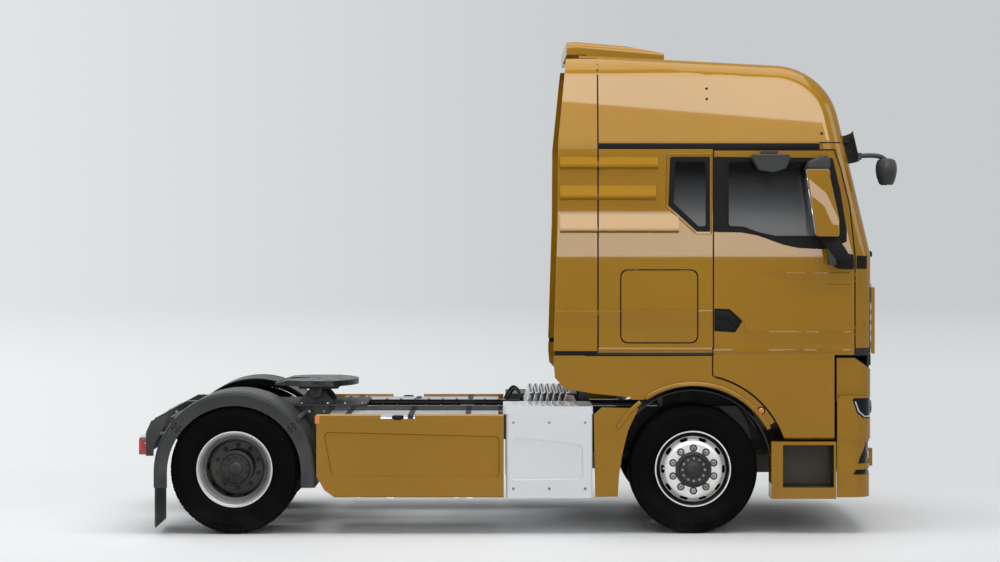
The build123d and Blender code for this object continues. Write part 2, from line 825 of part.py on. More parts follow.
def add_fold(x_low, x_high, top, proud, fade):
    """A fold in the right flank between two X places."""
    with BuildSketch(Plane.YZ.offset(x_low)) as fold:
        Polygon(
            (-cab_half_width + fold_root, top + fold_root),
            (-cab_half_width - proud, top - proud),
            (-cab_half_width + fold_root, top - fade),
            align=None,
        )
    extrude(fold.sketch, amount=x_high - x_low)


with BuildPart() as cab_sides:
    add(cab_shell.part)
    block(
        (cab_rear_x + cab_wall, front_split_x),
        (-2000, 2000),
        (floor_top_z, roof_seam_z),
        mode=Mode.INTERSECT,
    )
    add(quarter_windows, mode=Mode.SUBTRACT)
    add(locker_openings, mode=Mode.SUBTRACT)
    add_ribs(deflector_seam_x + panel_gap, 4000)
    for fold_x in ((deflector_seam_x + panel_gap, locker_x[0]), (locker_x[1], door_rear_x - panel_gap)):
        add_fold(*fold_x, *side_fold)
    add_fold(deflector_seam_x + panel_gap, door_rear_x - panel_gap, belt_fold[0] + 10, *belt_fold[1:])
    block((0, 4000), (-cab_half_width, 2000), (0, floor_top_z), mode=Mode.SUBTRACT)
    with BuildSketch(Plane.YZ.offset(deflector_seam_x + panel_gap)):
        with Locations((-cab_half_width, (strip_base_z + roof_seam_z) / 2)):
            Rectangle(24, roof_seam_z - strip_base_z)
    extrude(amount=1760, mode=Mode.SUBTRACT)
    add_hinge(lid_hinge, lid_hinge_x, lid_knuckle_radius, True)
    block((0, 4000), (-2000, 0), (0, 5000), mode=Mode.INTERSECT)
    mirror(about=Plane.XZ)
cab_sides.part.label = "cab_sides"
export_step(cab_sides.part, "parts/cab_sides.step")

outer_glass = cab_volume(glass_inset)
inner_glass = cab_volume(glass_inset + glass_wall)
with BuildPart() as glass_shell:
    add(outer_glass)
    add(inner_glass, mode=Mode.SUBTRACT)
with BuildPart() as windscreen:
    add(glass_shell.part)
    add(screen_prism(glass_gap), mode=Mode.INTERSECT)
with BuildPart() as quarter_glass:
    add(glass_shell.part)
    add(window_prism(quarter_window, glass_gap, 18), mode=Mode.INTERSECT)
    mirror(about=Plane.XZ)
with BuildPart() as cab_glass:
    add(windscreen.part)
    add(quarter_glass.part)
cab_glass.part.label = "cab_glass"
export_step(cab_glass.part, "parts/cab_glass.step")

# Side deflectors behind the cab
deflector_outline = (
    (275, 1436),
    (307, 2463),
    (311, 3074),
    (375, deflector_top_z),
    (deflector_seam_x - panel_gap + 4, deflector_top_z),
    (deflector_seam_x - panel_gap + 4, 1436),
)
with BuildPart() as side_deflectors:
    add(deflector_ring.part)
    panel(deflector_outline, (-2000, -600), mode=Mode.INTERSECT)
    add_ribs(rib_rear_x, deflector_seam_x - panel_gap + 4)
    add_fold(deflector_outline[0][0] + 20, deflector_seam_x - panel_gap + 4, *side_fold)
    mirror(about=Plane.XZ)
side_deflectors.part.label = "side_deflectors"
export_step(side_deflectors.part, "parts/side_deflectors.step")

# Roof spoiler, a wedge that stands on the roof
spoiler_half_width = 900.0
spoiler_seat_x = cab_rear_x + 60.0
skin_outside = cab_volume(-skin_gap)
with BuildPart() as roof_spoiler:
    with BuildSketch(side_plane(spoiler_half_width)):
        Polygon((383, 3700), (383, 3880), (470, 3884), (855, 3850), (1160, 3790), (1160, 3700), align=None)
    extrude(amount=2 * spoiler_half_width)
    add(skin_outside, mode=Mode.SUBTRACT)
    block((0, spoiler_seat_x), (-2000, 2000), (0, roof_rear_z + 5 * skin_gap), mode=Mode.SUBTRACT)
    tops = roof_spoiler.faces().sort_by(Axis.Z)[-2:].edges().filter_by(lambda e: abs(e.center().Y) > 800)
    fillet(tops, 50)
roof_spoiler.part.label = "roof_spoiler"
export_step(roof_spoiler.part, "parts/roof_spoiler.step")

# Sun visor: a thin sheet ahead of the windscreen's head, on three stays
visor_reach = 95.0
visor_wall = 8.0
visor_z = (2935.0, 3165.0)
visor_half_width = 1060.0
with BuildPart() as visor_stays:
    for stay_y in (-900, 0, 900):
        block((2400, 2740), (stay_y - 15, stay_y + 15), (3080, 3110))
    add(skin_outside, mode=Mode.SUBTRACT)
    add(cab_volume(visor_wall - visor_reach - 2, rounded=False), mode=Mode.INTERSECT)
with BuildPart() as sun_visor:
    add(cab_volume(-visor_reach, rounded=False))
    add(cab_volume(visor_wall - visor_reach, rounded=False), mode=Mode.SUBTRACT)
    block((2520, 4000), (-visor_half_width, visor_half_width), visor_z, mode=Mode.INTERSECT)
    add(visor_stays.part)
sun_visor.part.label = "sun_visor"
export_step(sun_visor.part, "parts/sun_visor.step")

# Doors from the cab's skin
arch_radius = 654.0
arch_band_radius = 745.0
skirt_base_z = 742.0
skirt_roll = 26.0
skirt_front_x = 2476.0
handle_depth = 12.0
handle_recess = ((1534, 1770), (1655, 1766), (1757, 1672), (1698, 1580), (1534, 1590))
with BuildPart() as door:
    add(skin)
    add(room, mode=Mode.SUBTRACT)
    add(door_prism(panel_gap), mode=Mode.INTERSECT)
    add(window_prism(door_window, 0, 22), mode=Mode.SUBTRACT)
    for top, proud, fade, rear_x in door_folds:
        add_fold(rear_x, fold_front_x, top, proud, fade)
    add_fold(door_rear_x + panel_gap, fold_front_x, *belt_fold)
    panel(handle_recess, (-cab_half_width - 20, -cab_half_width + handle_depth), mode=Mode.SUBTRACT, radius=9)
    add_hinge(door_hinge(-1), door_hinge_z, door_knuckle_radius, False)
write_pair(door.part, "door")

# Door skirts: a panel under each door that covers the upper step
with BuildPart() as door_skirt:
    with BuildSketch(side_plane(-cab_half_width + skirt_wall)):
        Polygon(
            (door_rear_x + panel_gap, cab_base_z + panel_gap),
            (door_rear_x + panel_gap, skirt_base_z),
            (skirt_front_x, skirt_base_z),
            (skirt_front_x, cab_base_z + panel_gap),
            align=None,
        )
        with Locations((front_axle_x, tyre_radius)):
            Circle(arch_band_radius + 7, mode=Mode.SUBTRACT)
    extrude(amount=skirt_wall)
    foot = door_skirt.faces().sort_by(Axis.Y)[0].edges().sort_by(Axis.Z)[0]
    chamfer(foot, skirt_roll, 0.6 * skirt_roll)
write_pair(door_skirt.part, "door_skirt")

with BuildPart() as door_glass:
    add(glass_shell.part)
    add(window_prism(door_window, glass_gap, 22), mode=Mode.INTERSECT)
write_pair(door_glass.part, "door_glass")

# Lids of the lockers under the bunk
with BuildPart() as locker_lid:
    with BuildSketch(side_plane(-cab_half_width + lid_wall)):
        with Locations((sum(locker_x) / 2, sum(locker_z) / 2)):
            RectangleRounded(
                locker_x[1] - locker_x[0] - 2 * panel_gap,
                locker_z[1] - locker_z[0] - 2 * panel_gap,
                locker_corner - panel_gap,
            )
    extrude(amount=lid_wall)
    add_hinge(lid_hinge, lid_hinge_x, lid_knuckle_radius, False)
write_pair(locker_lid.part, "locker_lid")

# Wings and sills on the cab: the belt, the arch over the front wheel and its front piece
arch_end_degrees = 30.0
arch_lip = 34.0
arch_lip_proud = 9.0
sill_points = (
    (276, 1434),
    (276, 1320),
    (284, 1226),
    (362, 1140),
    (597, 1101),
    (1020, 1058),
    (1370, 1058),
    (1370, 1434),
)
with BuildPart() as cab_wings:
    with BuildSketch(side_plane(-cab_half_width + skirt_wall)):
        Polygon(*sill_points, align=None)
        with Locations((front_axle_x, tyre_radius)):
            Circle(arch_band_radius)
        Polygon(
            (0, -500),
            (4000, -500),
            (4000, tyre_radius + (4000 - front_axle_x) * tan(radians(arch_end_degrees))),
            (front_axle_x, tyre_radius),
            (1021, tyre_radius),
            (1021, 1058),
            (0, 1058),
            align=None,
            mode=Mode.SUBTRACT,
        )
        Polygon(
            (front_axle_x, 1252),
            (door_rear_x - panel_gap, 1200),
            (door_rear_x - panel_gap, cab_base_z),
            (front_axle_x, cab_base_z),
            align=None,
        )
        with Locations((front_axle_x, tyre_radius)):
            Circle(arch_radius, mode=Mode.SUBTRACT)
    extrude(amount=skirt_wall)
    with BuildSketch(side_plane(-cab_half_width + 1)):
        with Locations((front_axle_x, tyre_radius)):
            Circle(arch_radius + arch_lip)
            Circle(arch_radius, mode=Mode.SUBTRACT)
        with Locations((front_axle_x, 1150 + 500)):
            Rectangle(2 * door_rear_x - 2 * front_axle_x - 2 * panel_gap, 1000, mode=Mode.INTERSECT)
    extrude(amount=arch_lip_proud + 1, taper=25)
    block((200, 4000), (-1500, 0), (cab_base_z, 1500), mode=Mode.SUBTRACT)
    mirror(about=Plane.XZ)
cab_wings.part.label = "cab_wings"
export_step(cab_wings.part, "parts/cab_wings.step")

# Front flap below the windscreen, hinged at its top edge
flap_z = (1410.0, 1931.0)
flap_half_width = 1110.0
flap_wall = 27.0
flap_gap = 8.0
flap_slots = (1480.0, 1565.0, 1650.0, 1735.0)
flap_slot_height = 50.0
flap_slot_half_width = 860.0
with BuildPart() as front_flap:
    add(cab_volume(-flap_gap - flap_wall))
    add(cab_volume(-flap_gap), mode=Mode.SUBTRACT)
    block((2500, 4000), (-flap_half_width, flap_half_width), flap_z, mode=Mode.INTERSECT)
    for slot_base in flap_slots:
        slot_z = (slot_base, slot_base + flap_slot_height)
        block((2500, 4000), (-flap_slot_half_width, flap_slot_half_width), slot_z, mode=Mode.SUBTRACT)
    for start in flap_hinge_y:
        leaf_y = (start + end_knuckle + hinge_room, start + end_knuckle + middle_knuckle - hinge_room)
        block((flap_hinge_x - 4, flap_hinge_x + 4), leaf_y, (flap_z[1] - 5, flap_hinge_z))
    add_hinge(flap_hinge, flap_hinge_y, flap_knuckle_radius, False)
front_flap.part.label = "front_flap"
export_step(front_flap.part, "parts/front_flap.step")

# Lower grille between the headlamps, carried by the cab
grille_half_width = 695.0
grille_z = (880.0, cab_base_z - 2)
grille_wall = 35.0
bumper_axis_x = cab_front_x - plan_radius
with BuildPart() as lower_grille:
    with BuildSketch(Plane.XY.offset(grille_z[0])) as plan:
        with Locations((bumper_axis_x, 0)):
            Circle(plan_radius)
            Circle(plan_radius - grille_wall, mode=Mode.SUBTRACT)
        with Locations((cab_front_x, 0)):
            Rectangle(600, 2 * grille_half_width, mode=Mode.INTERSECT)
    extrude(amount=grille_z[1] - grille_z[0])
    for slot in range(6):
        slot_z = grille_z[0] + 60 + slot * 72
        block((2600, 3000), (-grille_half_width + 60, grille_half_width - 60), (slot_z, slot_z + 42), mode=Mode.SUBTRACT)
    for side in (-1, 1):
        stay_y = sorted((side * 560, side * 600))
        block((2700, 2800), stay_y, (1300, cab_base_z))
lower_grille.part.label = "lower_grille"
export_step(lower_grille.part, "parts/lower_grille.step")

# Bumper: full width up to a ledge over the headlamps, lower in the middle, hollow behind its skin
bumper_rear_x = 2498.0
bumper_wall = 40.0
bumper_base_z = 288.0
bumper_middle_z = 825.0
ledge_z = 1085.0
ledge_wall = 20.0
ledge_depth = 66.0
bumper_top_z = 1380.0
corner_wall = 22.0
sweep_gap = 6.0
roll_z = 741.0
roll_inset = 9.0
lamp_gap = 0.5
headlamp_outline = ((2613, 1065), (3000, 1065), (3000, 905), (2707, 905), (2652, 950))
fog_outline = ((2722, 722), (3000, 722), (3000, 462), (2617, 462))
fog_bar_z = (506.0, 549.0)
fog_depth = 26.0


def bumper_plan(inset, z, narrow=0):
    """Plan of the bumper this far inside its skin, its flanks drawn in by a further amount."""
    with BuildSketch(Plane.XY.offset(z)) as plan:
        with Locations((bumper_axis_x, 0)):
            Circle(plan_radius - inset)
        with Locations(((bumper_rear_x + 3200) / 2, 0)):
            Rectangle(3200 - bumper_rear_x, 2 * (cab_half_width - narrow - inset), mode=Mode.INTERSECT)
        front = plan.vertices().filter_by(lambda v: v.X > bumper_rear_x + 50)
        fillet(front, front_corner_radius - narrow - inset / 2)
    return plan.sketch


with BuildPart() as fog_pocket:
    extrude(bumper_plan(-5, fog_outline[-1][1]), amount=fog_outline[0][1] - fog_outline[-1][1])
    extrude(
        bumper_plan(fog_depth, fog_outline[-1][1]), amount=fog_outline[0][1] - fog_outline[-1][1], mode=Mode.SUBTRACT
    )
    panel(fog_outline, (-cab_half_width - 10, -720), mode=Mode.INTERSECT)
    block((2500, 3000), (-2000, 0), fog_bar_z, mode=Mode.SUBTRACT)
fog_recesses = mirrored(fog_pocket.part)

with BuildPart() as bumper:
    extrude(bumper_plan(0, roll_z), amount=ledge_z - roll_z)
    extrude(bumper_plan(roll_inset, bumper_base_z), amount=roll_z - bumper_base_z)
    add(fog_recesses, mode=Mode.SUBTRACT)
    extrude(
        bumper_plan(bumper_wall, bumper_base_z), amount=ledge_z - ledge_wall - bumper_base_z, mode=Mode.SUBTRACT
    )
    extrude(bumper_plan(ledge_depth, ledge_z - ledge_wall), amount=ledge_wall, mode=Mode.SUBTRACT)
    block(
        (2400, 3000),
        (-grille_half_width - 10, grille_half_width + 10),
        (bumper_middle_z, ledge_z + 1),
        mode=Mode.SUBTRACT,
    )
    panel(((2780, 200), (3000, 200), (3000, 430), (2862, 430)), (-1500, 1500), mode=Mode.SUBTRACT)
    block((2600, 3000), (-560, 560), (450, 700), mode=Mode.SUBTRACT)
    for side in (-1, 1):
        flank_y = sorted((side * (cab_half_width - skirt_wall - sweep_gap), side * (cab_half_width + 10)))
        with BuildSketch(side_plane(flank_y[1])) as swept:
            with Locations(((bumper_rear_x - 10 + tilt_x) / 2, (tilt_z + ledge_z + 10) / 2)):
                Rectangle(tilt_x - bumper_rear_x + 10, ledge_z + 10 - tilt_z)
            with Locations((tilt_x, tilt_z)):
                Circle(tilt_x - skirt_front_x - sweep_gap, mode=Mode.SUBTRACT)
        extrude(swept.sketch, amount=flank_y[1] - flank_y[0], mode=Mode.SUBTRACT)
    for side in (-1, 1):
        panel(headlamp_outline, sorted((side * 760, side * (cab_half_width + 10))), mode=Mode.SUBTRACT, radius=14)
        block((frame_front_x + 50, 2830), sorted((side * 760, side * 820)), (500, 640))
bumper.part.label = "bumper"
export_step(bumper.part, "parts/bumper.step")

# Corner panels on the bumper's ledge: the door skirts pass outside them as the cab tilts
corner_narrow = skirt_wall + sweep_gap
with BuildPart() as bumper_corners:
    extrude(bumper_plan(0, ledge_z, corner_narrow), amount=bumper_top_z - ledge_z)
    extrude(bumper_plan(corner_wall, ledge_z, corner_narrow), amount=bumper_top_z - ledge_z, mode=Mode.SUBTRACT)
    block(
        (2400, 3000),
        (-grille_half_width - 10, grille_half_width + 10),
        (ledge_z, bumper_top_z),
        mode=Mode.SUBTRACT,
    )
    panel(((2640, 1381), (3000, 1381), (3000, 1126), (2790, 1275)), (-1500, 1500), mode=Mode.SUBTRACT)
bumper_corners.part.label = "bumper_corners"
export_step(bumper_corners.part, "parts/bumper_corners.step")

# Lamps: headlamps in the bumper's corners and the tail lamps
with BuildPart() as lamps:
    extrude(bumper_plan(4, headlamp_outline[2][1]), amount=headlamp_outline[0][1] - headlamp_outline[2][1])
    extrude(
        bumper_plan(70, headlamp_outline[2][1]),
        amount=headlamp_outline[0][1] - headlamp_outline[2][1],
        mode=Mode.SUBTRACT,
    )
    with BuildSketch(side_plane(-760 - lamp_gap)) as lamp_side:
        Polygon(*headlamp_outline, align=None)
        fillet(lamp_side.vertices(), 14)
        offset(amount=-lamp_gap)
    extrude(lamp_side.sketch, amount=cab_half_width - 760, mode=Mode.INTERSECT)
    block((-2979, -2921), (-1190, -820), (622, 759))
    mirror(about=Plane.XZ)
lamps.part.label = "lamps"
export_step(lamps.part, "parts/lamps.step")

# Entry steps below the doors
step_x = (1982.0, 2490.0)
step_z = (276.0, 725.0)
niche_x = (2072.0, 2472.0)
niche_z = (365.0, 698.0)
step_inner_y = 1000.0
with BuildPart() as entry_steps:
    block(step_x, (-cab_half_width, -step_inner_y), step_z)
    block(niche_x, (-cab_half_width - 1, -step_inner_y - 20), niche_z, mode=Mode.SUBTRACT)
    block((2100, 2200), (-step_inner_y, -rail_outer_y), (frame_base_z, frame_base_z + 40))
    mirror(about=Plane.XZ)
entry_steps.part.label = "entry_steps"
export_step(entry_steps.part, "parts/entry_steps.step")

# Liners over the front wheels, on bars from the frame
liner_radius = 615.0
liner_wall = 8.0
liner_front_x = 1975.0
with BuildPart() as arch_liners:
    with BuildSketch(side_plane(-660)):
        with Locations((front_axle_x, tyre_radius)):
            Circle(liner_radius + liner_wall)
            Circle(liner_radius, mode=Mode.SUBTRACT)
        with Locations((liner_front_x - 700, tyre_radius + 700 - 60)):
            Rectangle(1400, 1400, mode=Mode.INTERSECT)
    extrude(amount=1180 - 660)
    for angle in (40, 140):
        bar_x = front_axle_x + (liner_radius + 20) * cos(radians(angle))
        bar_z = tyre_radius + (liner_radius + 20) * sin(radians(angle))
        bar_along_y(bar_x, bar_z, (-1150, -rail_outer_y), 15)
    mirror(about=Plane.XZ)
arch_liners.part.label = "arch_liners"
export_step(arch_liners.part, "parts/arch_liners.step")

# Side panels on the chassis: the wing's rear foot, the long fairing with its filler notch
wing_foot = (
    (589, 936),
    (652, 994),
    (939, 986),
    (858, 814),
    (814, 635),
    (787, 455),
    (777, 294),
    (600, 290),
)
fairing_x = (-1585.0, -117.0)
fairing_z = (290.0, 941.0)
fairing_half_width = 1250.0
fairing_field = ((-1535, 806), (-150, 770), (-150, 440), (-1465, 440))
fairing_field_depth = 13.0


def fairing_edges(piece, y):
    """The long lower and upper edges of the panel whose outer face lies at this Y."""
    edges = piece.edges().filter_by(Axis.X).filter_by(lambda e: abs(e.center().Y - y) < 0.1)
    return edges.filter_by(lambda e: e.length > 300 or e.center().Z < 300)


def press_field(points, y, depth):
    """A field pressed into a panel whose outer face lies at this Y, with sloping walls."""
    with BuildSketch(side_plane(y)) as field:
        Polygon(*points, align=None)
        fillet(field.vertices(), 40)
    extrude(field.sketch, amount=-depth, taper=35, mode=Mode.SUBTRACT)


with BuildPart() as side_fairings:
    panel(wing_foot, (-cab_half_width, -cab_half_width + skirt_wall))
    block((620, 680), (-cab_half_width + skirt_wall - 1, -rail_outer_y), (780, 830))
    panel(
        (
            (fairing_x[0], fairing_z[1]),
            (fairing_x[0], fairing_z[0] + 170),
            (fairing_x[0] + 60, fairing_z[0] + 60),
            (fairing_x[0] + 140, fairing_z[0]),
            (fairing_x[1], fairing_z[0]),
            (fairing_x[1], fairing_z[1]),
            (-814, fairing_z[1]),
            (-814, 905),
            (-1081, 905),
            (-1081, fairing_z[1]),
        ),
        (-fairing_half_width, -fairing_half_width + 36),
    )
    outer = fairing_edges(side_fairings, -fairing_half_width)
    chamfer(outer, 12)
    press_field(fairing_field, -fairing_half_width, fairing_field_depth)
    mirror(about=Plane.XZ)
side_fairings.part.label = "side_fairings"
export_step(side_fairings.part, "parts/side_fairings.step")

# Fuel tanks behind the fairings
with BuildPart() as fuel_tanks:
    with BuildSketch(Plane.YZ.offset(-1500)):
        with Locations((-(fairing_half_width - 36 + rail_outer_y + 60) / 2, 625)):
            RectangleRounded(fairing_half_width - 36 - rail_outer_y - 60, 600, 90)
    extrude(amount=1340)
    for strap_x in (-1350, -400):
        block((strap_x - 30, strap_x + 30), (-560, -rail_outer_y), (700, 900))
    mirror(about=Plane.XZ)
fuel_tanks.part.label = "fuel_tanks"
export_step(fuel_tanks.part, "parts/fuel_tanks.step")

# Boxes behind the cab: the silencer's white cover on the right, the battery box on the left
box_x = (-100.0, 577.0)
box_z = (286.0, 943.0)
box_field = ((-58, 768), (440, 716), (505, 690), (505, 432), (-58, 425))
box_field_depth = 12.0
with BuildPart() as silencer_box:
    with BuildSketch(Plane.XY.offset(box_z[0])):
        with Locations((sum(box_x) / 2, -(fairing_half_width + 640) / 2)):
            RectangleRounded(box_x[1] - box_x[0], fairing_half_width - 640, 30)
    extrude(amount=box_z[1] - box_z[0])
    with BuildSketch(Plane.XY.offset(box_z[1])):
        with Locations((229.5, -(fairing_half_width + 620) / 2)):
            RectangleRounded(711, fairing_half_width - 620, 34)
    extrude(amount=60, taper=4)
    press_field(box_field, -fairing_half_width, box_field_depth)
    block((150, 260), (-660, -rail_outer_y), (720, 880))
silencer_box.part.label = "silencer_box"
export_step(silencer_box.part, "parts/silencer_box.step")

with BuildPart() as battery_box:
    with BuildSketch(Plane.XY.offset(box_z[0])):
        with Locations((sum(box_x) / 2, (fairing_half_width + 640) / 2)):
            RectangleRounded(box_x[1] - box_x[0], fairing_half_width - 640, 30)
    extrude(amount=box_z[1] - box_z[0] + 40)
    block((150, 260), (rail_outer_y, 660), (720, 880))
battery_box.part.label = "battery_box"
export_step(battery_box.part, "parts/battery_box.step")

# Catwalk plate behind the cab
with BuildPart() as catwalk:
    block((54, 479), (-600, 600), (frame_top_z, frame_top_z + 22))
catwalk.part.label = "catwalk"
export_step(catwalk.part, "parts/catwalk.step")

# Fifth wheel: base with two pedestals, and the plate that pitches on them
coupling_x = -1655.0
coupling_pivot_z = 1060.0
coupling_top_z = 1155.0
coupling_plate_wall = 45.0
kingpin_bore = 25.5
coupling_pin_radius = 25.0
pedestal_y = (250.0, 330.0)
with BuildPart() as coupling_base:
    block((coupling_x - 420, coupling_x + 420), (-rail_outer_y - 20, rail_outer_y + 20), (frame_top_z, frame_top_z + 16))
    for side in (-1, 1):
        pedestal = sorted((side * pedestal_y[0], side * pedestal_y[1]))
        panel(
            (
                (coupling_x - 150, frame_top_z + 16),
                (coupling_x + 150, frame_top_z + 16),
                (coupling_x + 40, coupling_pivot_z + 34),
                (coupling_x - 40, coupling_pivot_z + 34),
            ),
            pedestal,
            radius=12,
        )
        pin_y = sorted((side * (pedestal_y[0] - 35), side * (pedestal_y[1] + 35)))
        bar_along_y(coupling_x, coupling_pivot_z, pin_y, coupling_pin_radius)
coupling_base.part.label = "coupling_base"
export_step(coupling_base.part, "parts/coupling_base.step")

with BuildPart() as coupling_plate:
    with BuildSketch(Plane.XY.offset(coupling_top_z - coupling_plate_wall)) as plate_plan:
        with BuildLine():
            Polyline((-1994, -250), (-1994, -150), (-1720, -34), (-1720, 34), (-1994, 150), (-1994, 250))
            Line((-1994, 250), (-1760, 460))
            Line((-1760, 460), (-1500, 460))
            ThreePointArc((-1500, 460), (-1319, 0), (-1500, -460))
            Line((-1500, -460), (-1760, -460))
            Line((-1760, -460), (-1994, -250))
        make_face()
        with Locations((coupling_x, 0)):
            Circle(kingpin_bore, mode=Mode.SUBTRACT)
    extrude(amount=coupling_plate_wall)
    horn_x = -1994.0
    horn_ramp = (110.0, 32.0)
    panel(
        (
            (horn_x - 1, coupling_top_z + 1),
            (horn_x + horn_ramp[0], coupling_top_z + 1),
            (horn_x + horn_ramp[0], coupling_top_z),
            (horn_x - 1, coupling_top_z - horn_ramp[1]),
        ),
        (-500, 500),
        mode=Mode.SUBTRACT,
    )
    for side in (-1, 1):
        for lug in ((pedestal_y[0] - 32, pedestal_y[0] - 6), (pedestal_y[1] + 6, pedestal_y[1] + 32)):
            lug_y = sorted((side * lug[0], side * lug[1]))
            with BuildSketch(side_plane(lug_y[1])):
                with Locations((coupling_x, coupling_pivot_z)):
                    Circle(48)
                with Locations((coupling_x, coupling_pivot_z + 30)):
                    Rectangle(96, 60)
                with Locations((coupling_x, coupling_pivot_z)):
                    Circle(coupling_pin_radius + bearing_gap, mode=Mode.SUBTRACT)
            extrude(amount=lug_y[1] - lug_y[0])
coupling_plate.part.label = "coupling_plate"
export_step(coupling_plate.part, "parts/coupling_plate.step")

# Rear mudguards and mud flaps
guard_radius = 634.0
guard_lip_radius = 525.0
guard_wall = 8.0
guard_z = tyre_radius - 25
guard_foot_z = 365.0
guard_y = (600.0, 1250.0)
flap_plane_x = -2850.0


# Section of a mudguard: distance from the wheels' axis, and Y outboard
guard_section = (
    (guard_lip_radius, guard_y[1]),
    (guard_radius - 24, guard_y[1]),
    (guard_radius - 4, guard_y[1] - 14),
    (guard_radius, guard_y[1] - 34),
    (guard_radius, guard_y[1] - 74),
    (guard_radius - 12, guard_y[1] - 88),
    (guard_radius - 12, guard_y[1] - 128),
    (guard_radius, guard_y[1] - 142),
    (guard_radius, guard_y[0]),
    (guard_radius - guard_wall, guard_y[0]),
    (guard_radius - guard_wall, guard_y[1] - 138),
    (guard_radius - 12 - guard_wall, guard_y[1] - 124),
    (guard_radius - 12 - guard_wall, guard_y[1] - 92),
    (guard_radius - guard_wall, guard_y[1] - 78),
    (guard_radius - guard_wall, guard_y[1] - 38),
    (guard_radius - 30, guard_y[1] - guard_wall),
    (guard_lip_radius, guard_y[1] - guard_wall),
)


def guard_face(side):
    """The mudguard's section at axle height, in front of the axle or behind it."""
    with BuildSketch(Plane.XY.offset(guard_z)) as face:
        Polygon(*[(rear_axle_x + side * radius, -y) for radius, y in guard_section], align=None)
    return face.sketch


with BuildPart() as rear_mudguards:
    revolve(guard_face(1), axis=Axis((rear_axle_x, 0, guard_z), (0, -1, 0)), revolution_arc=180)
    for side in (-1, 1):
        extrude(guard_face(side), amount=guard_foot_z - guard_z)
    for angle in (40, 140):
        bar_x = rear_axle_x + (guard_radius + 16) * cos(radians(angle))
        bar_z = guard_z + (guard_radius + 16) * sin(radians(angle))
        bar_along_y(bar_x, bar_z, (-1200, -rail_outer_y), 20)
    block((flap_plane_x, flap_plane_x + 8), (-guard_y[1] + 6, -guard_y[0]), (55, 420))
    mirror(about=Plane.XZ)
rear_mudguards.part.label = "rear_mudguards"
export_step(rear_mudguards.part, "parts/rear_mudguards.step")

# Tail: cross beam behind the frame that carries the tail lamps
with BuildPart() as tail_beam:
    block((-2921, -2880), (-1230, 1230), (650, 730))
    for side in (-1, 1):
        panel(
            ((-2921, 615), (-2862, 615), (-2858, 700), (-2795, 815), (-2742, 944), (-2880, 890), (-2921, 800)),
            sorted((side * 1236, side * 1230)),
        )
        block((-2880, -2850), sorted((side * 360, side * 430)), (650, 730))
tail_beam.part.label = "tail_beam"
export_step(tail_beam.part, "parts/tail_beam.step")

# Mirrors: main heads on the doors, a kerb mirror on the right door, a front mirror on the cab
head_y = (1300.0, 1500.0)
head_outline = (
    (2304, 2342),
    (2474, 2340),
    (2474, 2464),
    (2400, 2800),
    (2404, 2925),
    (2352, 2958),
    (2262, 2915),
    (2226, 2860),
)
base_outline = ((2438, 2126), (2485, 2181), (2563, 2201), (2622, 2190), (2622, 2078), (2500, 2084))
kerb_outline = ((1806, 2950), (1822, 2974), (2100, 2974), (2112, 2940), (2078, 2862), (1985, 2832), (1866, 2850))
with BuildPart() as mirror_head:
    panel(head_outline, (-head_y[1], -head_y[0]), radius=22)
    fillet(mirror_head.faces().sort_by(Axis.Y)[0].edges(), 18)
with BuildPart() as kerb_head:
    panel(kerb_outline, (-1420, -1270), radius=10)
    fillet(kerb_head.faces().sort_by(Axis.Y)[0].edges(), 8)
with BuildPart() as main_mirror:
    panel(base_outline, (-cab_half_width - 42, -cab_half_width - 0.3), radius=12)
    block((2420, 2470), (-1380, -cab_half_width - 20), (2112, 2160))
    panel(((2420, 2112), (2470, 2112), (2440, 2380), (2370, 2380)), (-1400, -1340))
    block((2350, 2410), (-1330, -cab_half_width - 0.3), (2925, 2965))
    add(mirror_head.part)
with BuildPart() as kerb_mirror:
    add(kerb_head.part)
    block((1900, 2020), (-1345, -cab_half_width - 0.5), (2965, 3000))
with BuildPart() as door_mirror_right:
    add(main_mirror.part)
    add(kerb_mirror.part)
door_mirror_right.part.label = "door_mirror_right"
export_step(door_mirror_right.part, "parts/door_mirror_right.step")
with BuildPart() as door_mirror_left:
    add(main_mirror.part)
    mirror(about=Plane.XZ, mode=Mode.REPLACE)
door_mirror_left.part.label = "door_mirror_left"
export_step(door_mirror_left.part, "parts/door_mirror_left.step")

with BuildPart() as front_mirror:
    with BuildSketch(Plane.XY.offset(2745)):
        with Locations((2900, -1100)):
            RectangleRounded(168, 200, 60)
    extrude(amount=205, taper=6)
    block((2560, 2860), (-1120, -1080), (2950, 2985))
    block((2830, 2870), (-1120, -1080), (2900, 2985))
    add(skin_outside, mode=Mode.SUBTRACT)
front_mirror.part.label = "front_mirror"
export_step(front_mirror.part, "parts/front_mirror.step")

# Inside the cab: dashboard, steering wheel, seats and bunk
with BuildPart() as dashboard:
    with BuildSketch(side_plane(1120)):
        Polygon((2440, 1800), (2560, 1600), (2700, 1600), (2690, 2150), (2520, 2230), (2400, 2150), align=None)
    extrude(amount=2240)
    add(cab_volume(cab_wall + skin_gap), mode=Mode.INTERSECT)
    block((2560, 2700), (-300, 300), (floor_top_z, 1620))
dashboard.part.label = "dashboard"
export_step(dashboard.part, "parts/dashboard.step")

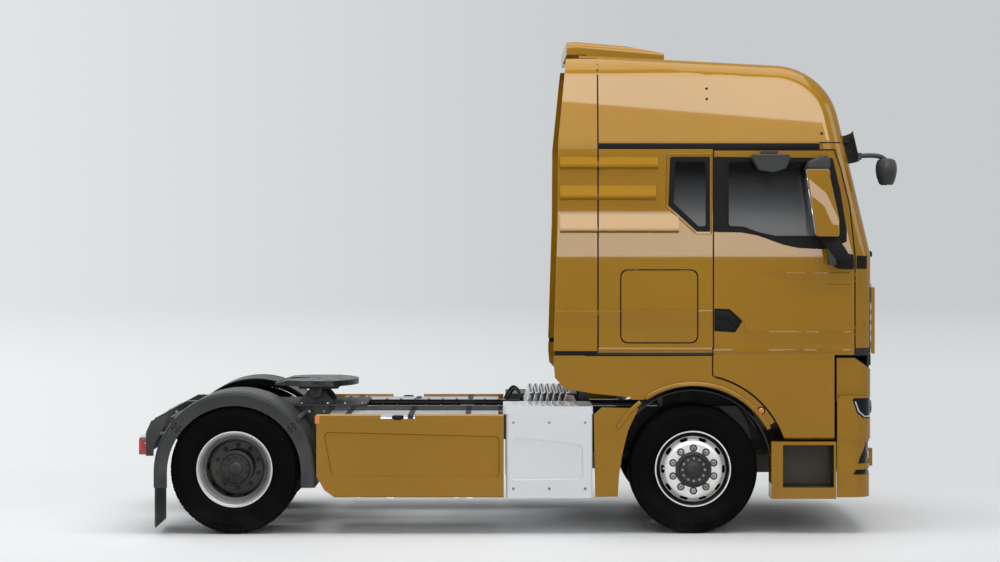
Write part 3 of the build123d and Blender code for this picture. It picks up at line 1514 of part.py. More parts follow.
wheel_centre = Vector(2230, 560, 2160)
column_foot = Vector(2470, 560, 1960)
with BuildPart() as steering_wheel:
    rim_plane = Plane(origin=wheel_centre, z_dir=wheel_centre - column_foot)
    with BuildSketch(Plane(origin=wheel_centre, x_dir=rim_plane.z_dir, z_dir=(0, 1, 0))):
        with Locations((0, 215)):
            Circle(16)
    revolve(axis=Axis(wheel_centre, rim_plane.z_dir))
    with BuildSketch(rim_plane):
        Circle(60)
        Rectangle(430, 40)
    extrude(amount=-24)
    with BuildSketch(rim_plane):
        Circle(32)
    extrude(amount=-(wheel_centre - column_foot).length)
    add(dashboard.part, mode=Mode.SUBTRACT)
steering_wheel.part.label = "steering_wheel"
export_step(steering_wheel.part, "parts/steering_wheel.step")

with BuildPart() as seats:
    for seat_y in (-560, 560):
        with BuildSketch(side_plane(seat_y + 250)):
            Polygon(
                (1560, 1860),
                (1620, 1940),
                (1500, 2650),
                (1400, 2700),
                (1350, 2640),
                (1440, 1900),
                (1500, 1800),
                (2050, 1810),
                (2070, 1900),
                (2030, 1940),
                (1640, 1930),
                align=None,
            )
        extrude(amount=500)
        block((1560, 1960), (seat_y - 170, seat_y + 170), (floor_top_z, 1815))
seats.part.label = "seats"
export_step(seats.part, "parts/seats.step")

with BuildPart() as bunk:
    block((cab_rear_x + cab_wall, 1230), (-1150, 1150), (1850, 1900))
    block((cab_rear_x + cab_wall, 1210), (-1140, 1140), (1900, 2010))
    edges_up = bunk.faces().sort_by(Axis.Z)[-1].edges()
    fillet(edges_up, 30)
    for foot_y in (-1000, 1000):
        block((1180, 1220), (foot_y - 20, foot_y + 20), (floor_top_z, 1850))
bunk.part.label = "bunk"
export_step(bunk.part, "parts/bunk.step")
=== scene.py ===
# %% [markdown]
# A two-axle tractor unit stands in a pale studio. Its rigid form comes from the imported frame: every
# panel, wheel and joint already has its real size and place. This script adds what the frame leaves
# out: paint, rubber and plastic, lamps, seals, nuts, tread, cushions and the studio around it all.
# Everything is in metres. X points forward, Y to the vehicle's left, Z up from the ground.

from math import cos, hypot, pi, radians, sin, tan

import bmesh
import bpy
from mathutils import Matrix, Vector
from mathutils.bvhtree import BVHTree


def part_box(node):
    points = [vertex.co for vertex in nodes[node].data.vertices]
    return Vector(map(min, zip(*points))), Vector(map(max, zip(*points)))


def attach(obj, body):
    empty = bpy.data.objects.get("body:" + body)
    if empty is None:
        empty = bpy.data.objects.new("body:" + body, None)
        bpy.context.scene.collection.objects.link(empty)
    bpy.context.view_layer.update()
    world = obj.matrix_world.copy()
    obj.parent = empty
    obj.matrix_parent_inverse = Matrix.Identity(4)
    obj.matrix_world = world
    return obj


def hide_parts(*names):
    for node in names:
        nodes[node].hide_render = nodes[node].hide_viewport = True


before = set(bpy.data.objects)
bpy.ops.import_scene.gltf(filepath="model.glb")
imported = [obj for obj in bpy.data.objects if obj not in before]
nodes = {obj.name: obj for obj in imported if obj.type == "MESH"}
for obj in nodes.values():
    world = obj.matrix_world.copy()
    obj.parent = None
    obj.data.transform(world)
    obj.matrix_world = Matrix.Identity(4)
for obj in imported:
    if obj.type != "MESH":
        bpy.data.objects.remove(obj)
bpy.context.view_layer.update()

# %% [markdown]
# The photo is a side view from far off with a long lens. A camera about 20 m from the near flank and
# 2.4 m up gives the same foreshortening. Its line of sight stays level, so upright lines stay
# upright, and a small shift of the lens slides the picture so that the wheels stand near its foot.

# %% Camera
camera_place = Vector((-0.1467, -21.686, 2.424))
focal_pixels = 2610.0
picture_width = 1000.0
horizon_row = 225.0
picture_middle_row = 281.0

camera_data = bpy.data.cameras.new("camera")
camera = bpy.data.objects.new("camera", camera_data)
bpy.context.scene.collection.objects.link(camera)
camera.location = camera_place
camera.rotation_euler = (pi / 2, 0, 0)
camera_data.sensor_width = 36.0
camera_data.lens = focal_pixels / picture_width * camera_data.sensor_width
camera_data.shift_y = (horizon_row - picture_middle_row) / picture_width
camera_data.clip_end = 300.0
bpy.context.scene.camera = camera
bpy.context.scene.view_settings.view_transform = "Standard"
print("lens", round(camera_data.lens, 2), "shift", round(camera_data.shift_y, 4))

# %% [markdown]
# A studio for car photography is a pale room: a large softbox overhead, a wide one beside the camera
# and weak fills behind and in front. One more lamp hangs high beside the camera and lights no matt
# surface: only glossy paint mirrors it, and its clean edge draws the bright band on roof and flank.
# Camera rays see a paler backdrop than the one that lights the object, so the paint keeps its colour
# while the picture stays airy.

# %% Floor, backdrop and lamps
def add_area(name, place, target, size, watts, colour=(1, 1, 1)):
    """A rectangular softbox at a place, aimed at a target."""
    data = bpy.data.lights.new(name, "AREA")
    data.shape = "RECTANGLE"
    data.size, data.size_y = size
    data.energy = watts
    data.color = colour
    lamp = bpy.data.objects.new(name, data)
    bpy.context.scene.collection.objects.link(lamp)
    lamp.location = place
    lamp.rotation_euler = (Vector(target) - Vector(place)).to_track_quat("-Z", "Y").to_euler()
    lamp.visible_camera = False
    return lamp


add_area("overhead_softbox", (0.0, -1.6, 9.5), (0.0, 0.0, 2.0), (12.0, 6.5), 700)
add_area("flank_softbox", (3.0, -30.0, 13.0), (1.0, 0.0, 2.4), (26.0, 11.0), 1350)
flank_sheen = add_area("flank_sheen", (2.6, -28.0, 20.0), (1.2, -1.2, 3.3), (26.0, 8.0), 4600)
flank_sheen.rotation_euler.rotate_axis("Z", radians(-6.0))
flank_sheen.visible_diffuse = False
add_area("flank_strip", (4.5, -30.0, 2.25), (4.5, 0.0, 2.25), (15.0, 0.85), 300, (1.0, 0.97, 0.95))
add_area("rear_fill", (-9.0, 8.0, 6.0), (0.0, 0.0, 1.5), (5.0, 5.0), 240)
add_area("front_fill", (10.0, -3.0, 6.0), (2.0, 0.0, 1.8), (4.0, 5.0), 150)

floor_mesh = bpy.data.meshes.new("floor")
floor_half = 60.0
floor_mesh.from_pydata(
    [(-floor_half, -floor_half, 0), (floor_half, -floor_half, 0), (floor_half, floor_half, 0), (-floor_half, floor_half, 0)],
    [],
    [(0, 1, 2, 3)],
)
floor = bpy.data.objects.new("floor", floor_mesh)
bpy.context.scene.collection.objects.link(floor)

world = bpy.data.worlds.new("studio")
bpy.context.scene.world = world
world.use_nodes = True

# %% [markdown]
# Most finishes here share a few effects: road dust that settles low down, a fine moulded grain,
# paint worn thin along edges, a brushed grain on bare metal and a woven cloth. Each effect is built
# once as a node group with its own inputs, then placed in several materials with other values. A
# group hands out only colours, masks and normals; the shader itself stays in its material.

# %% Helpers for node trees
def new_group(name, inputs, outputs):
    """An empty shader group with named sockets; returns the tree, its input node and its output node."""
    tree = bpy.data.node_groups.new(name, "ShaderNodeTree")
    for label, kind, default in inputs:
        socket = tree.interface.new_socket(label, in_out="INPUT", socket_type=kind)
        socket.default_value = default
    for label, kind in outputs:
        tree.interface.new_socket(label, in_out="OUTPUT", socket_type=kind)
    return tree, tree.nodes.new("NodeGroupInput"), tree.nodes.new("NodeGroupOutput")


def mix_colour(tree, factor, low, high):
    """A Mix node for colours; factor, low and high are sockets or plain values."""
    node = tree.nodes.new("ShaderNodeMix")
    node.data_type = "RGBA"
    for socket, value in ((node.inputs[0], factor), (node.inputs[6], low), (node.inputs[7], high)):
        if isinstance(value, bpy.types.NodeSocket):
            tree.links.new(value, socket)
        else:
            socket.default_value = value
    return node.outputs[2]


def scale_range(tree, value, from_low, from_high, to_low=0.0, to_high=1.0):
    """A Map Range node on a socket."""
    node = tree.nodes.new("ShaderNodeMapRange")
    tree.links.new(value, node.inputs[0])
    for index, limit in enumerate((from_low, from_high, to_low, to_high), start=1):
        if isinstance(limit, bpy.types.NodeSocket):
            tree.links.new(limit, node.inputs[index])
        else:
            node.inputs[index].default_value = limit
    return node.outputs[0]


def combine(tree, operation, first, second):
    """A Math node on two sockets or values."""
    node = tree.nodes.new("ShaderNodeMath")
    node.operation = operation
    for socket, value in zip(node.inputs, (first, second)):
        if isinstance(value, bpy.types.NodeSocket):
            tree.links.new(value, socket)
        else:
            socket.default_value = value
    return node.outputs[0]


def noise(tree, scale, detail=3.0, stretch=None):
    """Noise on the object's own coordinates, stretched where the grain has a direction."""
    place = tree.nodes.new("ShaderNodeTexCoord").outputs["Object"]
    if stretch:
        mapping = tree.nodes.new("ShaderNodeMapping")
        mapping.inputs["Scale"].default_value = stretch
        tree.links.new(place, mapping.inputs["Vector"])
        place = mapping.outputs["Vector"]
    node = tree.nodes.new("ShaderNodeTexNoise")
    node.inputs["Detail"].default_value = detail
    tree.links.new(place, node.inputs["Vector"])
    if isinstance(scale, bpy.types.NodeSocket):
        tree.links.new(scale, node.inputs["Scale"])
    else:
        node.inputs["Scale"].default_value = scale
    return node.outputs["Fac"]


print("helpers for node trees ready")

# %% Group: road dust
def build_road_dust():
    """Dust that thickens towards the ground, broken up by noise."""
    tree, given, result = new_group(
        "road dust",
        (
            ("Clean", "NodeSocketColor", (0.5, 0.5, 0.5, 1)),
            ("Dust", "NodeSocketColor", (0.28, 0.25, 0.21, 1)),
            ("Amount", "NodeSocketFloat", 0.3),
            ("Reach", "NodeSocketFloat", 0.8),
            ("Smooth", "NodeSocketFloat", 0.35),
        ),
        (("Colour", "NodeSocketColor"), ("Roughness", "NodeSocketFloat")),
    )
    place = tree.nodes.new("ShaderNodeTexCoord")
    split = tree.nodes.new("ShaderNodeSeparateXYZ")
    tree.links.new(place.outputs["Object"], split.inputs[0])
    height = scale_range(tree, split.outputs["Z"], 0.0, given.outputs["Reach"], 1.0, 0.0)
    patch = scale_range(tree, noise(tree, 5.0, 5.0), 0.38, 0.72)
    mask = combine(tree, "MULTIPLY", combine(tree, "MULTIPLY", height, patch), given.outputs["Amount"])
    colour = mix_colour(tree, mask, given.outputs["Clean"], given.outputs["Dust"])
    rough = combine(tree, "ADD", given.outputs["Smooth"], combine(tree, "MULTIPLY", mask, 0.6))
    tree.links.new(colour, result.inputs["Colour"])
    tree.links.new(rough, result.inputs["Roughness"])
    return tree


road_dust = build_road_dust()
print("group made:", road_dust.name)

# %% Group: fine grain
def build_fine_grain():
    """A bump of small rounded pits, as moulded plastic and rubber have."""
    tree, given, result = new_group(
        "fine grain",
        (("Scale", "NodeSocketFloat", 900.0), ("Depth", "NodeSocketFloat", 0.0002), ("Strength", "NodeSocketFloat", 0.4)),
        (("Normal", "NodeSocketVector"), ("Height", "NodeSocketFloat")),
    )
    height = noise(tree, given.outputs["Scale"], 2.0)
    bump = tree.nodes.new("ShaderNodeBump")
    tree.links.new(height, bump.inputs["Height"])
    tree.links.new(given.outputs["Depth"], bump.inputs["Distance"])
    tree.links.new(given.outputs["Strength"], bump.inputs["Strength"])
    tree.links.new(bump.outputs["Normal"], result.inputs["Normal"])
    tree.links.new(height, result.inputs["Height"])
    return tree


fine_grain = build_fine_grain()
print("group made:", fine_grain.name)

# %% Group: worn edges
def build_worn_edges():
    """A mask that is bright along edges, broken up by noise."""
    tree, given, result = new_group(
        "worn edges",
        (("Width", "NodeSocketFloat", 0.004), ("Amount", "NodeSocketFloat", 0.6)),
        (("Mask", "NodeSocketFloat"),),
    )
    bevel = tree.nodes.new("ShaderNodeBevel")
    bevel.samples = 4
    tree.links.new(given.outputs["Width"], bevel.inputs["Radius"])
    geometry = tree.nodes.new("ShaderNodeNewGeometry")
    dot = tree.nodes.new("ShaderNodeVectorMath")
    dot.operation = "DOT_PRODUCT"
    tree.links.new(bevel.outputs["Normal"], dot.inputs[0])
    tree.links.new(geometry.outputs["Normal"], dot.inputs[1])
    edge = scale_range(tree, dot.outputs["Value"], 0.99, 0.8)
    chipped = scale_range(tree, noise(tree, 60.0, 4.0), 0.45, 0.6)
    mask = combine(tree, "MULTIPLY", combine(tree, "MULTIPLY", edge, chipped), given.outputs["Amount"])
    tree.links.new(mask, result.inputs["Mask"])
    return tree


worn_edges = build_worn_edges()
print("group made:", worn_edges.name)

# %% Group: brushed metal
def build_brushed():
    """Long fine scratches along X: a value for roughness and a shallow normal."""
    tree, given, result = new_group(
        "brushed metal",
        (("Smooth", "NodeSocketFloat", 0.25), ("Spread", "NodeSocketFloat", 0.2), ("Depth", "NodeSocketFloat", 0.0001)),
        (("Roughness", "NodeSocketFloat"), ("Normal", "NodeSocketVector")),
    )
    scratch = noise(tree, 260.0, 4.0, (0.03, 1.0, 1.0))
    rough = combine(tree, "ADD", given.outputs["Smooth"], combine(tree, "MULTIPLY", scratch, given.outputs["Spread"]))
    bump = tree.nodes.new("ShaderNodeBump")
    bump.inputs["Strength"].default_value = 0.35
    tree.links.new(scratch, bump.inputs["Height"])
    tree.links.new(given.outputs["Depth"], bump.inputs["Distance"])
    tree.links.new(rough, result.inputs["Roughness"])
    tree.links.new(bump.outputs["Normal"], result.inputs["Normal"])
    return tree


brushed_metal = build_brushed()
print("group made:", brushed_metal.name)

# %% Group: woven cloth
def build_weave():
    """Warp and weft as two crossed waves over the object's coordinates."""
    tree, given, result = new_group(
        "woven cloth",
        (
            ("Scale", "NodeSocketFloat", 420.0),
            ("Dark", "NodeSocketColor", (0.02, 0.02, 0.022, 1)),
            ("Light", "NodeSocketColor", (0.06, 0.06, 0.065, 1)),
        ),
        (("Colour", "NodeSocketColor"), ("Normal", "NodeSocketVector")),
    )
    place = tree.nodes.new("ShaderNodeTexCoord")
    heights = []
    for direction in ("X", "Z"):
        wave = tree.nodes.new("ShaderNodeTexWave")
        wave.bands_direction = direction
        wave.inputs["Distortion"].default_value = 0.4
        tree.links.new(place.outputs["Object"], wave.inputs["Vector"])
        tree.links.new(given.outputs["Scale"], wave.inputs["Scale"])
        heights.append(wave.outputs["Fac"])
    height = combine(tree, "MULTIPLY", *heights)
    bump = tree.nodes.new("ShaderNodeBump")
    bump.inputs["Distance"].default_value = 0.0004
    bump.inputs["Strength"].default_value = 0.5
    tree.links.new(height, bump.inputs["Height"])
    tree.links.new(mix_colour(tree, height, given.outputs["Dark"], given.outputs["Light"]), result.inputs["Colour"])
    tree.links.new(bump.outputs["Normal"], result.inputs["Normal"])
    return tree


woven_cloth = build_weave()
print("effect groups:", [tree.name for tree in bpy.data.node_groups])

# %% [markdown]
# The gold of the body is a metallic base under clear lacquer. Its base carries fine flakes, so the
# colour is never quite even, and the lacquer gives the sharp reflections of the softboxes. The base
# is only partly metallic here: a real flake paint scatters some light and keeps its hue in shade.

# %% Paint, plastic and metal finishes
def srgb(red, green, blue):
    """A colour given in screen values from 0 to 255, as linear light."""
    linear = []
    for value in (red, green, blue):
        share = value / 255
        linear.append(share / 12.92 if share <= 0.04045 else ((share + 0.055) / 1.055) ** 2.4)
    return (*linear, 1.0)


def new_material(name, **fixed):
    """A material with a Principled shader whose even values are set on its own sockets."""
    material = bpy.data.materials.new(name)
    material.use_nodes = True
    shader = material.node_tree.nodes["Principled BSDF"]
    for key, value in fixed.items():
        shader.inputs[key.replace("_", " ")].default_value = value
    return material, material.node_tree, shader


def group_node(tree, group, **inputs):
    """Place an effect group with its own values; a socket given as a value is linked."""
    node = tree.nodes.new("ShaderNodeGroup")
    node.node_tree = group
    for key, value in inputs.items():
        if isinstance(value, bpy.types.NodeSocket):
            tree.links.new(value, node.inputs[key])
        else:
            node.inputs[key].default_value = value
    return node


def uneven_colour(tree, first, second, scale, low=0.4, high=0.6):
    """Two near colours mixed by noise."""
    return mix_colour(tree, scale_range(tree, noise(tree, scale, 3.0), low, high), first, second)


def make_paint(name, base, deep, metallic, rough, dust_amount, dust_reach, flake=0.0, coat=0.5, spec=0.3):
    """Lacquered paint: a flaked base colour, dust low down and a clear coat."""
    material, tree, shader = new_material(
        name, Metallic=metallic, Specular_IOR_Level=spec, Coat_Weight=coat, Coat_Roughness=0.015, Coat_IOR=1.5
    )
    colour = uneven_colour(tree, base, deep, 0.7, 0.3, 0.7)
    if flake:
        sparkle = tree.nodes.new("ShaderNodeTexVoronoi")
        sparkle.inputs["Scale"].default_value = 1400.0
        place = tree.nodes.new("ShaderNodeTexCoord")
        tree.links.new(place.outputs["Object"], sparkle.inputs["Vector"])
        bright = tuple(min(1.0, channel * 1.45) for channel in base[:3]) + (1.0,)
        glint = scale_range(tree, sparkle.outputs["Distance"], 0.0, 0.5, flake, 0.0)
        colour = mix_colour(tree, glint, colour, bright)
    dust = group_node(tree, road_dust, Clean=colour, Amount=dust_amount, Reach=dust_reach, Smooth=rough)
    tree.links.new(dust.outputs["Colour"], shader.inputs["Base Color"])
    tree.links.new(dust.outputs["Roughness"], shader.inputs["Roughness"])
    return material


def make_plastic(name, base, worn, rough, scale=700.0, strength=0.5, dust_amount=0.35, dust_reach=1.0, spec=0.3):
    """Grained plastic or rubber: worn edges, dust low down and a moulded grain."""
    material, tree, shader = new_material(name, Specular_IOR_Level=spec)
    edge = group_node(tree, worn_edges, Width=0.003, Amount=0.45)
    colour = mix_colour(tree, edge.outputs["Mask"], uneven_colour(tree, base, worn, 3.0, 0.35, 0.9), worn)
    dust = group_node(tree, road_dust, Clean=colour, Amount=dust_amount, Reach=dust_reach, Smooth=rough)
    grain = group_node(tree, fine_grain, Scale=scale, Strength=strength)
    tree.links.new(dust.outputs["Colour"], shader.inputs["Base Color"])
    tree.links.new(dust.outputs["Roughness"], shader.inputs["Roughness"])
    tree.links.new(grain.outputs["Normal"], shader.inputs["Normal"])
    return material


def make_metal(name, base, tarnish, metallic, smooth, spread, wear=0.0):
    """Bare or coated metal with a brushed grain."""
    material, tree, shader = new_material(name, Metallic=metallic)
    colour = uneven_colour(tree, base, tarnish, 6.0)
    if wear:
        edge = group_node(tree, worn_edges, Width=0.003, Amount=wear)
        colour = mix_colour(tree, edge.outputs["Mask"], colour, srgb(150, 150, 150))
    dust = group_node(tree, road_dust, Clean=colour, Amount=0.3, Reach=0.9)
    brush = group_node(tree, brushed_metal, Smooth=smooth, Spread=spread)
    tree.links.new(dust.outputs["Colour"], shader.inputs["Base Color"])
    tree.links.new(brush.outputs["Roughness"], shader.inputs["Roughness"])
    tree.links.new(brush.outputs["Normal"], shader.inputs["Normal"])
    return material


def make_glass(name, top, foot, rough, alpha):
    """Dark tinted glass that turns paler towards its foot as a painted reflection: a dark body that lets part of the
    inside through.
    """
    material, tree, shader = new_material(name, IOR=1.5, Alpha=alpha, Specular_IOR_Level=0.12)
    place = tree.nodes.new("ShaderNodeTexCoord")
    split = tree.nodes.new("ShaderNodeSeparateXYZ")
    tree.links.new(place.outputs["Object"], split.inputs[0])
    # Painted reflection: below 2.2 m the glass takes the pale foot colour, above 2.85 m the dark tint.
    fade = scale_range(tree, split.outputs["Z"], 2.85, 2.2)
    reflection_breakup = scale_range(tree, noise(tree, 1.3), 0.2, 0.8, 0.85, 1.0)
    tree.links.new(mix_colour(tree, combine(tree, "MULTIPLY", fade, reflection_breakup), top, foot), shader.inputs["Base Color"])
    tree.links.new(scale_range(tree, noise(tree, 9.0), 0.3, 0.8, rough, rough + 0.05), shader.inputs["Roughness"])
    return material


gold = make_paint("gold_paint", srgb(150, 109, 15), srgb(142, 102, 12), 0.35, 0.5, 0.06, 0.9, 0.35, 0.7, 0.0)
white = make_paint("white_paint", srgb(226, 229, 231), srgb(219, 222, 225), 0.0, 0.36, 0.08, 0.8)
chassis_black = make_paint("chassis_paint", srgb(24, 24, 26), srgb(18, 18, 19), 0.0, 0.42, 0.35, 1.3)
dark_plastic = make_plastic("dark_plastic", srgb(22, 23, 24), srgb(36, 37, 38), 0.5)
grey_plastic = make_plastic("grey_plastic", srgb(44, 46, 46), srgb(58, 60, 60), 0.42)
seal_rubber = make_plastic("seal_rubber", srgb(9, 9, 10), srgb(20, 20, 21), 0.5, 1200.0, 0.3, 0.1, 1.0, 0.15)
tyre_rubber = make_plastic("tyre_rubber", srgb(6, 6, 7), srgb(12, 12, 12), 0.65, 420.0, 0.5, 0.05, 0.4, 0.04)
cast_metal = make_metal("cast_metal", srgb(64, 64, 65), srgb(46, 45, 44), 0.5, 0.45, 0.25, 0.4)
aluminium = make_metal("aluminium", srgb(214, 216, 219), srgb(190, 193, 197), 0.9, 0.22, 0.25)
wheel_silver = make_metal("wheel_silver", srgb(226, 226, 224), srgb(210, 210, 208), 0.55, 0.28, 0.16)
# A dark grey that is painted shade in the deep dish of the rear wheels.
wheel_dish_shade = make_metal("wheel_dish_shade", srgb(98, 97, 95), srgb(80, 79, 77), 0.5, 0.4, 0.2)
steel = make_metal("steel", srgb(150, 150, 150), srgb(110, 110, 110), 0.9, 0.3, 0.25)
# This black is the real colour of hub centres and bolts, and painted shade in the wheels' grooves and nut seats.
hub_black_and_shade = make_metal("hub_black_and_shade", srgb(20, 20, 21), srgb(13, 13, 14), 0.4, 0.35, 0.2)
# The light grey foot colour of the window glass is a painted reflection.
window_glass = make_glass("window_glass", srgb(6, 7, 8), srgb(120, 122, 124), 0.04, 0.93)
black_glass = make_glass("black_glass", srgb(12, 12, 13), srgb(22, 22, 24), 0.05, 1.0)
print(len(bpy.data.materials), "finishes")

# %% [markdown]
# The backdrop is a pale grey, lighter behind the rear than ahead of the cab. The world lights the
# object evenly and a little dimmer than it looks, through Light Path: camera, glossy and transmitted rays see the pale
# backdrop, other rays get the plain light. The floor takes real shadows near the truck and fades into
# the backdrop's tone further out, so no horizon line shows.

# %% World and floor shaders
def light_path_mask(tree):
    """1 for camera, glossy and transmitted rays."""
    path = tree.nodes.new("ShaderNodeLightPath")
    seen = combine(tree, "MAXIMUM", path.outputs["Is Camera Ray"], path.outputs["Is Glossy Ray"])
    return combine(tree, "MAXIMUM", seen, path.outputs["Is Transmission Ray"])


wall_tones = srgb(227, 229, 231), srgb(200, 203, 205)
floor_tones = srgb(238, 242, 243), srgb(216, 220, 222)
world_tree = world.node_tree
world_tree.nodes.clear()
world_out = world_tree.nodes.new("ShaderNodeOutputWorld")
plain_light = world_tree.nodes.new("ShaderNodeBackground")
plain_light.inputs["Color"].default_value = (0.96, 0.98, 1.0, 1)
plain_light.inputs["Strength"].default_value = 0.3
backdrop = world_tree.nodes.new("ShaderNodeBackground")
backdrop.inputs["Strength"].default_value = 1.0
direction = world_tree.nodes.new("ShaderNodeTexCoord")
parts = world_tree.nodes.new("ShaderNodeSeparateXYZ")
world_tree.links.new(direction.outputs["Generated"], parts.inputs[0])
across = scale_range(world_tree, parts.outputs["X"], -0.2, 0.06)
wall = mix_colour(world_tree, across, *wall_tones)
world_tree.links.new(wall, backdrop.inputs["Color"])
world_mix = world_tree.nodes.new("ShaderNodeMixShader")
world_tree.links.new(light_path_mask(world_tree), world_mix.inputs[0])
world_tree.links.new(plain_light.outputs[0], world_mix.inputs[1])
world_tree.links.new(backdrop.outputs[0], world_mix.inputs[2])
world_tree.links.new(world_mix.outputs[0], world_out.inputs["Surface"])

floor_paint, floor_tree, floor_shader = new_material("floor_paint", Roughness=0.55)
floor_tree.links.new(
    uneven_colour(floor_tree, srgb(250, 251, 252), srgb(246, 248, 250), 0.4), floor_shader.inputs["Base Color"]
)
floor_glow = floor_tree.nodes.new("ShaderNodeEmission")
floor_place = floor_tree.nodes.new("ShaderNodeTexCoord")
floor_parts = floor_tree.nodes.new("ShaderNodeSeparateXYZ")
floor_tree.links.new(floor_place.outputs["Object"], floor_parts.inputs[0])
sideways = combine(floor_tree, "DIVIDE", floor_parts.outputs["X"], combine(
    floor_tree, "MAXIMUM", combine(floor_tree, "ADD", floor_parts.outputs["Y"], 21.7), 8.0
))
floor_across = scale_range(floor_tree, sideways, -0.2, 0.06)
far_away = floor_tree.nodes.new("ShaderNodeVectorMath")
far_away.operation = "LENGTH"
floor_tree.links.new(floor_place.outputs["Object"], far_away.inputs[0])
floor_reach = scale_range(floor_tree, far_away.outputs["Value"], 22.0, 56.0)
floor_tree.links.new(
    mix_colour(
        floor_tree, floor_reach,
        mix_colour(floor_tree, floor_across, *floor_tones),
        mix_colour(floor_tree, floor_across, *wall_tones),
    ),
    floor_glow.inputs["Color"],
)
floor_shape = floor_tree.nodes.new("ShaderNodeMapping")
floor_shape.inputs["Scale"].default_value = (0.55, 1.0, 1.0)
floor_tree.links.new(floor_place.outputs["Object"], floor_shape.inputs["Vector"])
floor_length = floor_tree.nodes.new("ShaderNodeVectorMath")
floor_length.operation = "LENGTH"
floor_tree.links.new(floor_shape.outputs["Vector"], floor_length.inputs[0])
floor_fade = scale_range(floor_tree, floor_length.outputs["Value"], 1.8, 5.5)
floor_mask = combine(floor_tree, "MULTIPLY", floor_fade, light_path_mask(floor_tree))
floor_mix = floor_tree.nodes.new("ShaderNodeMixShader")
floor_tree.links.new(floor_mask, floor_mix.inputs[0])
floor_tree.links.new(floor_shader.outputs[0], floor_mix.inputs[1])
floor_tree.links.new(floor_glow.outputs[0], floor_mix.inputs[2])
floor_tree.links.new(floor_mix.outputs[0], floor_tree.nodes["Material Output"].inputs["Surface"])
floor_mesh.materials.append(floor_paint)
print("backdrop and floor shaders made")

# %% [markdown]
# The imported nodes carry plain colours. Each gets the finish of the real piece by its name: body panels
# in gold, steps and guards in moulded plastic, the frame in black, tanks and plates in aluminium.

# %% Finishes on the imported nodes
finish_of_node = {
    gold: (
        "cab_rear_wall", "cab_roof", "cab_front", "cab_sides", "side_deflectors", "roof_spoiler", "cab_wings",
        "door_right", "door_left", "locker_lid_right", "locker_lid_left", "front_flap", "bumper",
        "side_fairings", "door_skirt_right", "door_skirt_left", "bumper_corners",
        "entry_steps",
    ),
    dark_plastic: (
        "sun_visor", "lower_grille", "arch_liners", "front_mirror", "dashboard",
        "steering_wheel", "cab_floor", "seats", "bunk",
    ),
    grey_plastic: ("rear_mudguards", "door_mirror_right", "door_mirror_left", "battery_box"),
    chassis_black: ("frame", "cab_supports", "tail_beam", "suspension", "propeller_shaft"),
    cast_metal: (
        "engine", "front_axle", "rear_axle", "knuckle_right", "knuckle_left", "coupling_base", "coupling_plate",
    ),
    white: ("silencer_box",),
    aluminium: ("fuel_tanks", "catwalk"),
    wheel_silver: ("front_wheel_right", "front_wheel_left", "rear_wheels_right", "rear_wheels_left"),
    tyre_rubber: ("front_tyre_right", "front_tyre_left", "rear_tyres_right", "rear_tyres_left"),
    black_glass: ("lamps",),
    window_glass: ("cab_glass", "door_glass_right", "door_glass_left"),
}


def paint_node(name, material):
    """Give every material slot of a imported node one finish."""
    mesh = nodes[name].data
    if not mesh.materials:
        mesh.materials.append(material)
    for index in range(len(mesh.materials)):
        mesh.materials[index] = material


for material, names in finish_of_node.items():
    for name in names:
        paint_node(name, material)
print(sum(len(names) for names in finish_of_node.values()), "of", len(nodes), "packed nodes painted")

# %% [markdown]
# Trim pieces are built as meshes from a few moves: a closed outline pushed along an axis, a frame
# between two outlines, a profile turned round an axis and a tube along a line. All points are given
# in millimetres as the drawing has them and turned into metres when a mesh is finished.

# %% Mesh tools
MM = 0.001


def rounded(points, radius, steps=4):
    """An outline with its corners rounded."""
    result = []
    count = len(points)
    for index, point in enumerate(points):
        corner = Vector(point)
        back = Vector(points[index - 1]) - corner
        ahead = Vector(points[(index + 1) % count]) - corner
        cut = min(radius / max(0.2, tan(back.angle(ahead) / 2)), back.length * 0.45, ahead.length * 0.45)
        start = corner + back.normalized() * cut
        end = corner + ahead.normalized() * cut
        for step in range(steps + 1):
            share = step / steps
            result.append((1 - share) ** 2 * start + 2 * share * (1 - share) * corner + share**2 * end)
    return result


def drawn_in(points, distance):
    """An outline moved inwards by a distance, point by point."""
    area = sum(a[0] * b[1] - a[1] * b[0] for a, b in zip(points, points[1:] + points[:1]))
    turn = 1 if area > 0 else -1
    result = []
    for index, point in enumerate(points):
        before = (Vector(point) - Vector(points[index - 1])).normalized()
        after = (Vector(points[(index + 1) % len(points)]) - Vector(point)).normalized()
        normal = Vector((-(before.y + after.y), before.x + after.x)) * turn
        normal.normalize()
        spread = max(0.5, normal.dot(Vector((-after.y, after.x)) * turn))
        result.append(Vector(point) + normal * distance / spread)
    return result


def place(plane, first, second, along):
    """A point of the drawing: XZ lies along Y, YZ along X and XY along Z."""
    return {"XZ": (first, along, second), "YZ": (along, first, second), "XY": (first, second, along)}[plane]


def add_prism(mesh, outline, plane, low, high):
    """A closed outline pushed from low to high."""
    loops = [[mesh.verts.new(place(plane, p[0], p[1], level)) for p in outline] for level in (low, high)]
    count = len(outline)
    for index in range(count):
        after = (index + 1) % count
        mesh.faces.new((loops[0][index], loops[0][after], loops[1][after], loops[1][index]))
    mesh.faces.new(loops[0][::-1])
    mesh.faces.new(loops[1])


def add_frame(mesh, outer, inner, plane, low, high):
    """A frame between two outlines of as many points, pushed from low to high."""
    loops = [
        [mesh.verts.new(place(plane, p[0], p[1], level)) for p in outline]
        for outline, level in ((outer, low), (outer, high), (inner, high), (inner, low))
    ]
    for near, far in zip(loops, loops[1:] + loops[:1]):
        for index in range(len(outer)):
            after = (index + 1) % len(outer)
            mesh.faces.new((near[index], near[after], far[after], far[index]))


def add_box(mesh, x, y, z):
    """A block between pairs of X, Y and Z."""
    add_prism(mesh, [(x[0], z[0]), (x[1], z[0]), (x[1], z[1]), (x[0], z[1])], "XZ", *y)


